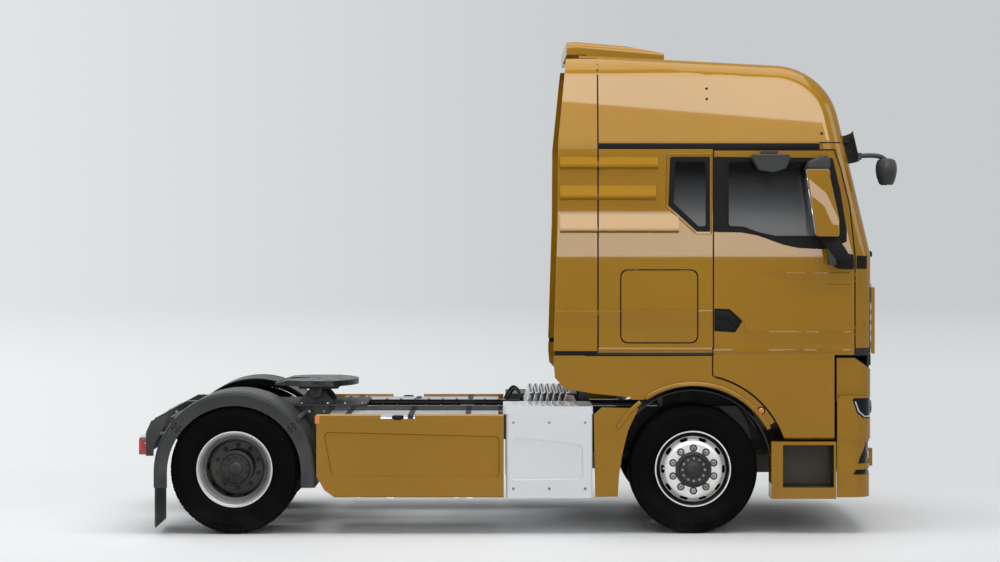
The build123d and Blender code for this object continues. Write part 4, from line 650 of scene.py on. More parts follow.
def add_turned(mesh, profile, centre, axis="Y", segments=48, closed=False):
    """A profile of (radius, distance along the axis) turned round an axis through centre."""
    centre = Vector(centre)
    rings = []
    for radius, along in profile:
        ring = []
        for index in range(segments if radius > 1e-6 else 1):
            angle = 2 * pi * index / segments
            first, second = radius * cos(angle), radius * sin(angle)
            offset = {"X": (along, first, second), "Y": (first, along, second), "Z": (first, second, along)}[axis]
            ring.append(mesh.verts.new(centre + Vector(offset)))
        rings.append(ring)
    pairs = list(zip(rings, rings[1:]))
    if closed:
        pairs.append((rings[-1], rings[0]))
    for near, far in pairs:
        for index in range(segments):
            after = (index + 1) % segments
            corners = [near[index % len(near)], near[after % len(near)], far[after % len(far)], far[index % len(far)]]
            corners = list(dict.fromkeys(corners))
            if len(corners) > 2:
                mesh.faces.new(corners)


def add_tube(mesh, points, radius, segments=10):
    """A round bar along a line of points, capped at both ends."""
    points = [Vector(point) for point in points]
    side = Vector((0, 0, 1)) if abs((points[1] - points[0]).normalized().z) < 0.9 else Vector((0, 1, 0))
    rings = []
    for index, point in enumerate(points):
        ahead = points[min(index + 1, len(points) - 1)] - points[max(index - 1, 0)]
        first = ahead.cross(side).normalized()
        second = ahead.cross(first).normalized()
        rings.append(
            [
                mesh.verts.new(point + radius * (cos(2 * pi * k / segments) * first + sin(2 * pi * k / segments) * second))
                for k in range(segments)
            ]
        )
    for near, far in zip(rings, rings[1:]):
        for k in range(segments):
            mesh.faces.new((near[k], near[(k + 1) % segments], far[(k + 1) % segments], far[k]))
    mesh.faces.new(rings[0][::-1])
    mesh.faces.new(rings[-1])


def curve_through(points, count=10):
    """Points of a smooth line through the given ones."""
    points = [Vector(point) for point in points]
    padded = [2 * points[0] - points[1]] + points + [2 * points[-1] - points[-2]]
    line = []
    for a, b, c, d in zip(padded, padded[1:], padded[2:], padded[3:]):
        for step in range(count):
            t = step / count
            line.append(0.5 * (2 * b + (c - a) * t + (2 * a - 5 * b + 4 * c - d) * t**2 + (3 * b - a - 3 * c + d) * t**3))
    return line + [points[-1]]


def soften(mesh, width, segments=2, angle=35):
    """Round every edge sharper than the angle."""
    bmesh.ops.recalc_face_normals(mesh, faces=mesh.faces)
    edges = [edge for edge in mesh.edges if edge.is_manifold and edge.calc_face_angle(0) > radians(angle)]
    bmesh.ops.bevel(
        mesh, geom=edges, offset=width, segments=segments, affect="EDGES", profile=0.6, clamp_overlap=True
    )


def finish_piece(name, mesh, material, body, replaces=(), angle=40):
    """Turn a mesh in millimetres into a finished piece that rides on a body."""
    bmesh.ops.recalc_face_normals(mesh, faces=mesh.faces)
    mesh.normal_update()
    for edge in mesh.edges:
        edge.smooth = not edge.is_manifold or edge.calc_face_angle(0) < radians(angle)
    for face in mesh.faces:
        face.smooth = True
    data = bpy.data.meshes.new(name)
    mesh.to_mesh(data)
    mesh.free()
    data.transform(Matrix.Scale(MM, 4))
    data.materials.append(material)
    piece = bpy.data.objects.new(name, data)
    bpy.context.scene.collection.objects.link(piece)
    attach(piece, body)
    if replaces:
        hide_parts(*replaces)
    return piece


def mirror_piece(piece, name, body, replaces=()):
    """The left-hand twin of a right-hand piece."""
    data = piece.data.copy()
    data.name = name
    data.transform(Matrix.Scale(-1, 4, (0, 1, 0)))
    data.flip_normals()
    twin = bpy.data.objects.new(name, data)
    bpy.context.scene.collection.objects.link(twin)
    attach(twin, body)
    if replaces:
        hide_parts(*replaces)
    return twin


def pair(name, mesh, material, body, replaces="", angle=40):
    """A right-hand piece and its left-hand twin; names and bodies end in their side where they need to."""
    right = body.replace("*", "right")
    left = body.replace("*", "left")
    gone = [(replaces.replace("*", side),) if replaces else () for side in ("right", "left")]
    piece = finish_piece(name + "_right", mesh, material, right, gone[0], angle)
    return piece, mirror_piece(piece, name + "_left", left, gone[1])


def split_faces(name, test, material):
    """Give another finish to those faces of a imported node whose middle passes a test, in millimetres."""
    data = nodes[name].data
    data.materials.append(material)
    index = len(data.materials) - 1
    found = 0
    for face in data.polygons:
        middle = face.center / MM
        if test(middle.x, abs(middle.y), middle.z):
            face.material_index = index
            found += 1
    return found


print("mesh tools ready")

# %% [markdown]
# Nuts, bolts, slats and tread blocks repeat at a fixed step. One of them is modelled in its place and
# a node tree copies it, either round an axis or along a line. The result is baked into a plain mesh.

# %% Repeating trees
def repeat_tree(name, inputs, turned):
    """A tree that copies its mesh by index: round an axis along Y or along a step."""
    tree = bpy.data.node_groups.new(name, "GeometryNodeTree")
    tree.interface.new_socket("Geometry", in_out="INPUT", socket_type="NodeSocketGeometry")
    for label, kind, default in inputs:
        socket = tree.interface.new_socket(label, in_out="INPUT", socket_type=kind)
        if default is not None:
            socket.default_value = default
    tree.interface.new_socket("Geometry", in_out="OUTPUT", socket_type="NodeSocketGeometry")
    given = tree.nodes.new("NodeGroupInput")
    result = tree.nodes.new("NodeGroupOutput")
    points = tree.nodes.new("GeometryNodePoints")
    copies = tree.nodes.new("GeometryNodeInstanceOnPoints")
    index = tree.nodes.new("GeometryNodeInputIndex")
    real = tree.nodes.new("GeometryNodeRealizeInstances")
    finish = tree.nodes.new("GeometryNodeSetMaterial")
    link = tree.links.new
    link(given.outputs["Count"], points.inputs["Count"])
    link(points.outputs[0], copies.inputs["Points"])
    link(given.outputs["Geometry"], copies.inputs["Instance"])
    last = copies.outputs[0]
    scale = tree.nodes.new("ShaderNodeVectorMath")
    scale.operation = "SCALE"
    link(index.outputs[0], scale.inputs["Scale"])
    if turned:
        share = tree.nodes.new("ShaderNodeMath")
        share.operation = "DIVIDE"
        share.inputs[0].default_value = 2 * pi
        link(given.outputs["Count"], share.inputs[1])
        angle = tree.nodes.new("ShaderNodeCombineXYZ")
        link(share.outputs[0], angle.inputs["Y"])
        link(angle.outputs[0], scale.inputs[0])
        turn = tree.nodes.new("GeometryNodeRotateInstances")
        turn.inputs["Local Space"].default_value = False
        link(last, turn.inputs["Instances"])
        link(scale.outputs[0], turn.inputs["Rotation"])
        link(given.outputs["Centre"], turn.inputs["Pivot Point"])
        last = turn.outputs[0]
    else:
        link(given.outputs["Step"], scale.inputs[0])
        link(scale.outputs[0], points.inputs["Position"])
    link(last, real.inputs[0])
    link(real.outputs[0], finish.inputs["Geometry"])
    link(given.outputs["Finish"], finish.inputs["Material"])
    link(finish.outputs[0], result.inputs[0])
    return tree


ring_of_copies = repeat_tree(
    "ring_of_copies",
    (("Count", "NodeSocketInt", 10), ("Centre", "NodeSocketVector", None), ("Finish", "NodeSocketMaterial", None)),
    True,
)
row_of_copies = repeat_tree(
    "row_of_copies",
    (("Count", "NodeSocketInt", 6), ("Step", "NodeSocketVector", None), ("Finish", "NodeSocketMaterial", None)),
    False,
)


def repeated(mesh, tree, material, **inputs):
    """Copy a mesh with a repeating tree and hand back the result as a mesh to build on."""
    source = bpy.data.meshes.new("copy_source")
    mesh.to_mesh(source)
    mesh.free()
    carrier = bpy.data.objects.new("copy_carrier", source)
    bpy.context.scene.collection.objects.link(carrier)
    modifier = carrier.modifiers.new("copies", "NODES")
    modifier.node_group = tree
    sockets = {item.name: item.identifier for item in tree.interface.items_tree if item.in_out == "INPUT"}
    modifier[sockets["Finish"]] = material
    for label, value in inputs.items():
        modifier[sockets[label]] = value
    depsgraph = bpy.context.evaluated_depsgraph_get()
    baked = bpy.data.meshes.new_from_object(carrier.evaluated_get(depsgraph))
    bpy.data.objects.remove(carrier)
    result = bmesh.new()
    result.from_mesh(baked)
    bpy.data.meshes.remove(baked)
    return result


def merge_into(mesh, *others):
    """Add other meshes to a mesh."""
    for other in others:
        held = bpy.data.meshes.new("held")
        other.to_mesh(held)
        other.free()
        mesh.from_mesh(held)
        bpy.data.meshes.remove(held)
    return mesh


print("repeating trees:", ring_of_copies.name, row_of_copies.name)

# %% [markdown]
# Truck tyres of this size have a smooth curved sidewall with a few raised rings, ribs and grooves
# running round on the steered axle, and blunt blocks on the driven axle for grip. A profile turned
# round the axle makes the body; the blocks are one block copied round it, in rows set half a pitch
# apart. The left-hand tyres mirror the right-hand ones.

# %% Tyres
front_axle, rear_axle, axle_z = 1370.0, -2230.0, 507.0
front_tyre_y, twins_y = 1040.0, (735.0, 1085.0)
SIDEWALL = (
    (287, 112), (299.5, 120), (312, 135), (330, 146), (334, 150), (342, 151), (346, 149), (370, 154), (398, 155.5),
    (420, 154.5), (424, 156), (434, 155.5), (438, 153), (455, 149), (470, 145.5), (474, 147), (483, 143),
)


def tyre_profile(tread):
    """The section of a tyre: sidewall, tread from one shoulder to the other, sidewall."""
    side = list(SIDEWALL)
    return [(r, -y) for r, y in side] + tread + [(r, y) for r, y in reversed(side)]


def ribbed_tread():
    """A tread with five ribs and four grooves."""
    half = [(497, 134), (504, 124), (506, 112)]
    tread = [(r, -y) for r, y in half]
    for centre in (-76, -30, 30, 76):
        tread += [(506.5, centre - 7), (495, centre - 4), (493, centre), (495, centre + 4), (506.5, centre + 7)]
    return tread + [(r, y) for r, y in reversed(half)]


def place_on(x, y):
    """The middle of a right-hand tyre."""
    return (x, -y, axle_z)


steer_tyre = bmesh.new()
add_turned(steer_tyre, tyre_profile(ribbed_tread()), place_on(front_axle, front_tyre_y), "Y", 144, closed=True)
pair("steer_tyre", steer_tyre, tyre_rubber, "front_wheel_*", "front_tyre_*", 34)

drive_tyres = bmesh.new()
base_tread = [(488, -132), (492, -118), (492, -50), (490, 0), (492, 50), (492, 118), (488, 132)]
for tyre_y in twins_y:
    add_turned(drive_tyres, tyre_profile(base_tread), place_on(rear_axle, tyre_y), "Y", 120, closed=True)
block_count = 50
pitch = 2 * pi * 506 / block_count
for row, (low, high) in enumerate(((-132, -76), (-66, -8), (8, 66), (76, 132))):
    block = bmesh.new()
    for tyre_y in twins_y:
        lean = 5 if row % 2 else -5
        half = 0.37 * pitch
        outline = [(-half - lean, low), (half - lean, low), (half + lean, high), (-half + lean, high)]
        loops = []
        for level, narrowing, shoulder_drop in ((486, 1.0, 0), (506.5, 0.94, 7)):
            loops.append([
                block.verts.new((
                    rear_axle + x * narrowing, -tyre_y + y, axle_z + level - (shoulder_drop if abs(y) > 120 else 0)
                ))
                for x, y in outline
            ])
        for index in range(4):
            after = (index + 1) % 4
            block.faces.new((loops[0][index], loops[0][after], loops[1][after], loops[1][index]))
        block.faces.new(loops[1])
        block.faces.new(loops[0][::-1])
    start = 2 * pi * (row % 2) * 0.5 / block_count
    bmesh.ops.rotate(block, verts=block.verts, cent=(rear_axle, 0, axle_z), matrix=Matrix.Rotation(start, 3, "Y"))
    copies = repeated(block, ring_of_copies, tyre_rubber, Count=block_count, Centre=(rear_axle, 0, axle_z))
    merge_into(drive_tyres, copies)
drive_pair = pair("drive_tyres", drive_tyres, tyre_rubber, "rear_wheels_*", "rear_tyres_*", 34)
print("drive tyres:", len(drive_pair[0].data.polygons), "faces a side")

# %% [markdown]
# Each wheel is held by ten hexagon nuts with a round collar, on studs that stand a little proud. The
# front hub has a ring of small bolts round a domed cap. The rear hub, longer, has its bolts on the
# half shaft's flange. A short valve stem stands between two of the openings.

# %% Wheel nuts, hub bolts and caps
def nut_at(mesh, x, z, y, across, height, stud):
    """A hexagon nut with its collar and stud, outwards from the Y plane of a right-hand wheel."""
    add_turned(mesh, [(0, 0), (across * 0.78, 0), (across * 0.74, -3), (across * 0.6, -4)], (x, -y, z), "Y", 18)
    ring = [(0, 0), (across * 0.577, 0), (across * 0.577, -height + 2.5), (across * 0.5, -height), (0, -height)]
    add_turned(mesh, ring, (x, -y, z), "Y", 6)
    if stud:
        end = [(0, 0), (stud, 0), (stud, -height - 5), (stud * 0.75, -height - 7), (0, -height - 7)]
        add_turned(mesh, end, (x, -y, z), "Y", 12)


def ring_about(axle_x, radius, y, across, height, stud, count, material):
    """Nuts or bolts on a circle round an axle."""
    one = bmesh.new()
    nut_at(one, axle_x, axle_z + radius, y, across, height, stud)
    return repeated(one, ring_of_copies, material, Count=count, Centre=(axle_x, 0, axle_z))


front_nuts = ring_about(front_axle, 167.5, 1215, 20, 17, 8, 10, steel)
pair("front_nuts", front_nuts, steel, "front_wheel_*")
# The flat black rings round the front nuts are painted shade for their recessed seats.
nut_shade_rings = bmesh.new()
nut_shade_place = (front_axle, -1215, axle_z + 167.5)
add_turned(nut_shade_rings, [(30, -0.3), (30, -1.8), (18, -1.2), (18, -0.3)], nut_shade_place, "Y", 24, closed=True)
nut_shade_rings = repeated(nut_shade_rings, ring_of_copies, hub_black_and_shade, Count=10, Centre=(front_axle, 0, axle_z))
hub_bolts = ring_about(front_axle, 88, 1254, 13, 7, 0, 12, steel)
pair("front_hub_bolts", hub_bolts, steel, "front_wheel_*")
front_bolts = bmesh.new()
add_turned(
    front_bolts, [(0, -14), (30, -13), (52, -10), (64, -5), (68, 0), (0, 0)], (front_axle, -1254, axle_z), "Y", 36
)
add_turned(front_bolts, [(141.5, 0), (128, -5), (113, -6), (113, 0)], (front_axle, -1229.5, axle_z), "Y", 48, closed=True)
pair("front_hub_cap_and_nut_shade", merge_into(nut_shade_rings, front_bolts), hub_black_and_shade, "front_wheel_*")

rear_nuts = ring_about(rear_axle, 167.5, 916, 33, 24, 10, 10, cast_metal)
pair("rear_nuts", rear_nuts, cast_metal, "rear_wheels_*")
rear_bolts = ring_about(rear_axle, 90, 910 + 240, 17, 9, 0, 10, hub_black_and_shade)
add_turned(rear_bolts, [(0, -12), (34, -11), (54, -7), (60, 0), (0, 0)], (rear_axle, -1150, axle_z), "Y", 36)
pair("rear_hub_cap", rear_bolts, hub_black_and_shade, "rear_wheels_*")
valves = bmesh.new()
add_tube(valves, [(front_axle + 214, -1178, axle_z - 66), (front_axle + 222, -1214, axle_z - 68)], 4.5)
add_tube(valves, [(front_axle + 222, -1214, axle_z - 68), (front_axle + 224, -1222, axle_z - 69)], 6)
pair("front_valve", valves, steel, "front_wheel_*")
valves = bmesh.new()
add_tube(valves, [(rear_axle + 236, -960, axle_z + 76), (rear_axle + 246, -1165, axle_z + 80)], 4.5)
pair("rear_valve", valves, steel, "rear_wheels_*")


def from_axle(x, z, axle_x):
    """Distance from an axle's line."""
    return hypot(x - axle_x, z - axle_z)


# The hub centres are black in their own right. The front wheel's faces deeper than 1120 mm, seen through its vents, and
# the groove inside its rim flange are painted black as painted shade; the rear wheels' deep dish is painted dark grey
# as painted shade.
for side in ("right", "left"):
    front = "front_wheel_" + side
    rear = "rear_wheels_" + side
    hub_and_inner_shade_faces = split_faces(front, lambda x, y, z: from_axle(x, z, front_axle) < 140.8 or y < 1120, hub_black_and_shade)
    groove_shade_faces = split_faces(front, lambda x, y, z: 256 < from_axle(x, z, front_axle) < 287.5 and y > 1100, hub_black_and_shade)
    dish_shade_faces = split_faces(rear, lambda x, y, z: from_axle(x, z, rear_axle) < 262 and y < 1205, wheel_dish_shade)
    black_faces = split_faces(rear, lambda x, y, z: from_axle(x, z, rear_axle) < 141.5, hub_black_and_shade)
    print(side, "wheel faces repainted:", hub_and_inner_shade_faces, groove_shade_faces, dish_shade_faces, black_faces)

# %% [markdown]
# Panel joints on the real cab show as dark lines, because rubber lips and deep shadow sit between
# the panels. Thin lips are laid on the fixed side of each joint here. Their points are dropped onto
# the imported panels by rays, so that a lip follows the rounding of roof and corners.

# %% Laying strips on the panels
def surface_of(*names):
    """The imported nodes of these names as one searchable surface, in metres."""
    vertices, faces = [], []
    for name in names:
        start = len(vertices)
        data = nodes[name].data
        vertices += [vertex.co.copy() for vertex in data.vertices]
        faces += [tuple(start + index for index in face.vertices) for face in data.polygons]
    return BVHTree.FromPolygons(vertices, faces)


flank = surface_of(
    "cab_sides", "door_right", "side_deflectors", "cab_roof", "cab_front", "cab_wings", "locker_lid_right",
    "door_skirt_right", "bumper", "cab_rear_wall", "lamps",
)
nose = surface_of(
    "cab_front", "cab_roof", "front_flap", "cab_glass", "bumper", "bumper_corners", "lower_grille", "lamps",
)


def flank_y(x, z, fallback=-1220.0):
    """Y of the right flank at this X and Z, in millimetres."""
    hit = flank.ray_cast(Vector((x * MM, -2.0, z * MM)), Vector((0, 1, 0)))[0]
    return hit.y / MM if hit and hit.y < -0.6 else fallback


def nose_x(y, z, fallback=2850.0):
    """X of the front at this Y and Z, in millimetres."""
    hit = nose.ray_cast(Vector((4.0, y * MM, z * MM)), Vector((-1, 0, 0)))[0]
    return hit.x / MM if hit and hit.x > 2.3 else fallback


def add_fold(mesh, ends, fade, proud):
    """A pressed fold on the flank. It is given by two ends, each (x, height of the ridge, share of the depth)."""
    rings = []
    for x, ridge, share in ends:
        high, low = flank_y(x, ridge), flank_y(x, ridge - fade)
        rings.append([
            mesh.verts.new((x, high + 2, ridge + 1)),
            mesh.verts.new((x, high - max(0.3, proud * share), ridge)),
            mesh.verts.new((x, low - 0.2, ridge - fade * max(0.05, share))),
        ])
    for first, second in zip(rings, rings[1:]):
        for index in range(3):
            following = (index + 1) % 3
            mesh.faces.new((first[index], second[index], second[following], first[following]))
    mesh.faces.new(rings[0][::-1])
    mesh.faces.new(rings[-1])
    bmesh.ops.recalc_face_normals(mesh, faces=mesh.faces)


def stepped(points, closed, step):
    """Points along a line, no further apart than the step."""
    points = [Vector(point) for point in points]
    ends = list(zip(points, points[1:] + points[:1] if closed else points[1:]))
    line = []
    for start, end in ends:
        count = max(1, round((end - start).length / step))
        line += [start.lerp(end, index / count) for index in range(count)]
    return line if closed else line + [points[-1]]


def add_lip(mesh, points, inner, outer, proud=0.8, depth=3.0, closed=True, front=False, step=45):
    """A thin strip between two offsets of a line, laid on the flank or on the front."""
    line = stepped(points, closed, step)
    area = sum(a.x * b.y - b.x * a.y for a, b in zip(line, line[1:] + line[:1]))
    turn = 1 if area > 0 or not closed else -1
    rows = []
    for index, point in enumerate(line):
        back = line[index - 1] if closed or index else point
        ahead = line[(index + 1) % len(line)] if closed or index < len(line) - 1 else point
        before = (point - back).normalized() if point != back else (ahead - point).normalized()
        after = (ahead - point).normalized() if point != ahead else before
        normal = Vector((before.y + after.y, -(before.x + after.x))) * turn
        normal.normalize()
        spread = max(0.5, abs(normal.dot(Vector((after.y, -after.x)))))
        row = []
        for reach in (inner, outer):
            spot = point + normal * reach / spread
            if front:
                level = max(nose_x(spot.x, spot.y), nose_x(spot.x + 4, spot.y + 4), nose_x(spot.x - 4, spot.y - 4))
                row.append(((level + proud, spot.x, spot.y), (level - depth, spot.x, spot.y)))
            else:
                level = min(flank_y(spot.x, spot.y), flank_y(spot.x + 4, spot.y), flank_y(spot.x - 4, spot.y))
                row.append(((spot.x, level - proud, spot.y), (spot.x, level + depth, spot.y)))
        (inner_top, inner_foot), (outer_top, outer_foot) = row
        rows.append([mesh.verts.new(corner) for corner in (inner_top, outer_top, outer_foot, inner_foot)])
    for index in range(len(rows) if closed else len(rows) - 1):
        near, far = rows[index], rows[(index + 1) % len(rows)]
        for side in range(4):
            mesh.faces.new((near[side], near[(side + 1) % 4], far[(side + 1) % 4], far[side]))
    if not closed:
        mesh.faces.new(rows[0][::-1])
        mesh.faces.new(rows[-1])


door_edge = (
    (1523.5, 1405), (1523.5, 3016.5), (2479, 3016.5), (2529, 2875), (2602, 2575), (2641, 2190), (2641, 1405),
)
seams = bmesh.new()
add_lip(seams, door_edge[::-1], -9, 1.5, closed=False)
add_lip(seams, rounded([(802.5, 1502.5), (1401.5, 1502.5), (1401.5, 2069.5), (802.5, 2069.5)], 58), 0, 8)
add_lip(seams, [(622, 1440), (622, 2400), (622, 3060), (622, 3380), (622, 3735)], -6, 6, closed=False)
add_lip(seams, [(630, 3070), (1500, 3070), (2300, 3070), (2600, 3072)], -5, 5, closed=False)
add_lip(seams, [(520, 1400), (1000, 1400), (1518, 1402)], -5, 5, closed=False)
pair("seam_lips", seams, seal_rubber, "cab")

groove = bmesh.new()
add_box(groove, (626, 2360), (-1216, -1208.5), (3018, 3064))
soften(groove, 2)
pair("groove_strip", groove, seal_rubber, "cab")
print("seam lips and groove strips laid")

# %% [markdown]
# The side windows are bonded glass with a printed black border and a rubber seal. The quarter window
# has a raised bevel in body colour round it, which catches light from above.

# %% Side windows
trim = bmesh.new()
outer = [
    (1530, 2959), (1530, 2369), (1748, 2365), (1873, 2342), (2072, 2270), (2198, 2243), (2396, 2234), (2572, 2292),
    (2572, 2385), (2523, 2693), (2462, 2950),
]
inner = [
    (1634, 2928), (1634, 2406), (1760, 2398), (1880, 2355), (2010, 2326), (2200, 2326), (2400, 2326), (2506, 2326),
    (2498, 2440), (2453, 2700), (2394, 2928),
]
add_frame(trim, rounded(outer, 16), rounded(inner, 22), "XZ", -1223.5, -1217)
seal_edge = rounded(inner, 34)
add_frame(trim, rounded(inner, 22), drawn_in(seal_edge, 13), "XZ", -1219, -1214.3)
soften(trim, 0.8, 1)
pair("door_window_trim", trim, seal_rubber, "door_*")

quarter_outer = [(1187, 2959), (1515, 2959), (1515, 2372), (1398, 2372), (1173, 2576)]
quarter_inner = [(1216, 2929), (1479, 2929), (1479, 2403), (1405, 2403), (1203, 2590)]
trim = bmesh.new()
add_frame(trim, rounded(quarter_outer, 14), rounded(quarter_inner, 18), "XZ", -1222.5, -1215)
add_frame(trim, rounded(quarter_inner, 18), drawn_in(rounded(quarter_inner, 28), 12), "XZ", -1218, -1214.3)
soften(trim, 0.8, 1)
pair("quarter_window_trim", trim, seal_rubber, "cab")

bevel = bmesh.new()
bevel_outer = [(1158, 2985), (1518, 2985), (1518, 2350), (1388, 2350), (1148, 2568)]
low = rounded(bevel_outer, 18)
high = drawn_in(rounded(bevel_outer, 18), 18)
loops = [
    [bevel.verts.new((p[0], y, p[1])) for p in outline]
    for outline, y in ((low, -1219.5), (drawn_in(low, 6), -1226.5), (high, -1223), (high, -1219))
]
for near, far in zip(loops, loops[1:] + loops[:1]):
    for index in range(len(low)):
        after = (index + 1) % len(low)
        bevel.faces.new((near[index], near[after], far[after], far[index]))
pair("quarter_window_bevel", bevel, gold, "cab", angle=55)
print("window trims and bevels made")

# %% [markdown]
# The door handle is a black lever in a recess that runs to a point. The recess floor is lined in
# black plastic with two finger pockets, and the lock sits at the rear.

# %% Door handles, markers and plugs
handle = bmesh.new()
recess = [(1536, 1768), (1654, 1764), (1754, 1672), (1697, 1582), (1536, 1592)]
add_frame(handle, rounded(recess, 9), drawn_in(rounded(recess, 9), 6), "XZ", -1221.5, -1208.4)
add_prism(handle, drawn_in(rounded(recess, 9), 5), "XZ", -1209.6, -1208.3)
lever = rounded([(1552, 1748), (1650, 1744), (1722, 1674), (1690, 1640), (1630, 1688), (1552, 1694)], 10)
add_prism(handle, lever, "XZ", -1226, -1212)
add_prism(handle, rounded([(1600, 1712), (1622, 1712), (1622, 1606), (1600, 1606)], 5), "XZ", -1222, -1209)
add_turned(handle, [(0, -5), (9, -5), (11, -3), (11, 0), (0, 0)], (1570, -1209.5, 1630), "Y", 20)
soften(handle, 1.5)
pair("door_handle", handle, seal_rubber, "door_*")

amber, amber_tree, amber_shader = new_material("amber_lens", Roughness=0.12, Coat_Weight=0.8, Emission_Strength=0.12)
amber_tree.links.new(
    uneven_colour(amber_tree, srgb(224, 128, 30), srgb(200, 104, 22), 90), amber_shader.inputs["Base Color"]
)
amber_shader.inputs["Emission Color"].default_value = srgb(230, 130, 30)
wing_marker = bmesh.new()
add_turned(wing_marker, [(0, -8), (14, -7.4), (21, -4.5), (24, 0), (0, 0)], (1901, -1220, 968), "Y", 28)
plugs = bmesh.new()
add_turned(plugs, [(24, 0), (24, -4), (30, -4.5), (33, 0)], (1901, -1219.6, 968), "Y", 28, closed=True)
for x, z, radius in ((1480, 3497, 9), (1480, 3415, 9), (2378, 3141, 10)):
    y = flank_y(x, z)
    add_turned(plugs, [(0, -2), (radius, -2), (radius + 2, 1), (0, 4)], (x, y, z), "Y", 16)
pair("marker_rings_and_plugs", plugs, seal_rubber, "cab")
pair("wing_marker", wing_marker, amber, "cab")
side_marker = bmesh.new()
add_prism(side_marker, rounded([(-1596, 868), (-1560, 868), (-1560, 932), (-1596, 932)], 6), "XZ", -1256, -1249.5)
soften(side_marker, 2)
pair("side_marker", side_marker, amber, "chassis")
print("flank trim done")

# %% [markdown]
# The pressed folds of the doors run out in long points, and the fold of the flank runs on over the
# locker lid. These run-outs are laid on the panels here, because they end in nothing.

# %% Run-outs of the pressed folds
tails = bmesh.new()
add_fold(tails, [(2101, 2052, 1), (1880, 2062, 0)], 70, 6)
add_fold(tails, [(2281, 1962, 1), (2090, 1968, 0)], 95, 7)
add_fold(tails, [(1781, 1592, 1), (1772, 1640, 0.6), (1764, 1700, 0)], 110, 8)
pair("door_fold_tails", tails, gold, "door_*")
lid_fold = bmesh.new()
add_fold(lid_fold, [(812, 1757, 1), (1392, 1757, 1)], 150, 9)
pair("lid_fold", lid_fold, gold, "locker_lid_*")
print("run-outs laid on the doors and the locker lids")

# %% [markdown]
# The main mirror has a cover in body colour under a grey cap, a black arm, and glass that faces the
# rear. The cover is a shell a few millimetres outside the plain head, rounded like a moulding. A thin
# black trim on the pillar stands for the mirror's foot.

# %% Mirrors
mirror_glass, mirror_tree, mirror_shader = new_material("mirror_glass", Metallic=1.0)
mirror_tree.links.new(
    uneven_colour(mirror_tree, srgb(190, 196, 200), srgb(182, 188, 193), 5), mirror_shader.inputs["Base Color"]
)
mirror_tree.links.new(
    scale_range(mirror_tree, noise(mirror_tree, 14), 0.3, 0.8, 0.02, 0.06), mirror_shader.inputs["Roughness"]
)

cover = bmesh.new()
cover_side = rounded(
    [(2302, 2336), (2478, 2334), (2478, 2466), (2406, 2800), (2408, 2856), (2222, 2856), (2226, 2836)], 20
)
add_prism(cover, cover_side, "XZ", -1506, -1332)
soften(cover, 22, 4, 50)
pair("mirror_cover", cover, gold, "door_*")
cap = bmesh.new()
cap_side = rounded([(2220, 2862), (2410, 2862), (2410, 2930), (2354, 2964), (2256, 2920)], 18)
add_prism(cap, cap_side, "XZ", -1503, -1298)
soften(cap, 16, 3, 50)
pair("mirror_cap", cap, grey_plastic, "door_*")
arm = bmesh.new()
add_prism(arm, rounded([(2322, 2344), (2476, 2340), (2560, 2206), (2540, 2150), (2470, 2150)], 14), "XZ", -1406, -1334)
arm_root = rounded([(2440, 2124), (2488, 2184), (2563, 2203), (2624, 2193), (2624, 2076), (2500, 2082)], 12)
add_prism(arm, arm_root, "XZ", -1268, -1223)
soften(arm, 9, 2, 50)
pair("mirror_arm", arm, seal_rubber, "door_*")
foot = bmesh.new()
add_lip(foot, [(2650, 2134), (2735, 2132)], -50, 52, proud=3.5, depth=2, closed=False, step=12)
pair("mirror_foot_trim", foot, seal_rubber, "cab")
panes = bmesh.new()
for low, high in (((2300, 2352), (2244, 2700)), ((2242, 2716), (2228, 2852))):
    pane = [(low[0] - 6, low[1]), (low[0] + 2, low[1]), (high[0] + 2, high[1]), (high[0] - 6, high[1])]
    add_prism(panes, pane, "XZ", -1488, -1316)
soften(panes, 2)
pair("mirror_panes", panes, mirror_glass, "door_*")

lobes = bmesh.new()
add_turned(lobes, [(0, -2), (46, -2), (50, -5), (46, -9), (0, -10)], (2904, -1100, 2746), "Z", 40)
for vertex in lobes.verts:
    vertex.co.y = -1100 + (vertex.co.y + 1100) * 1.12
finish_piece("front_mirror_glass", lobes, mirror_glass, "cab")
print("mirrors made")

# %% [markdown]
# The windscreen carries a printed black band along its edge and rests in a rubber seal. Two wiper
# arms lie over its foot. Under it the flap has dark slots, backed by a plate with a fine grid.

# %% Windscreen band, wipers and slots
screen = rounded([(-1085, 2200), (1085, 2200), (1040, 2985), (-1040, 2985)], 90, 6)
band = bmesh.new()
add_lip(band, screen, -62, 8, proud=1.4, depth=2.0, front=True, step=60)
finish_piece("windscreen_band", band, seal_rubber, "cab")


def arc_x(y, inset, radius=8000.0, front=2850.0):
    """X of the curved front at this Y, drawn in by an inset."""
    return front - radius + (((radius - inset) ** 2 - y * y) ** 0.5)


def add_arc_plate(mesh, inset, y, z, thickness, lean=0.0, steps=24):
    """A plate that follows the front's plan curve."""
    rows = []
    for index in range(steps + 1):
        place_y = y[0] + (y[1] - y[0]) * index / steps
        front = arc_x(place_y, inset)
        rows.append(
            [
                mesh.verts.new(corner)
                for corner in (
                    (front, place_y, z[0]), (front - lean, place_y, z[1]),
                    (front - lean - thickness, place_y, z[1]), (front - thickness, place_y, z[0]),
                )
            ]
        )
    for near, far in zip(rows, rows[1:]):
        for side in range(4):
            mesh.faces.new((near[side], near[(side + 1) % 4], far[(side + 1) % 4], far[side]))
    mesh.faces.new(rows[0][::-1])
    mesh.faces.new(rows[-1])


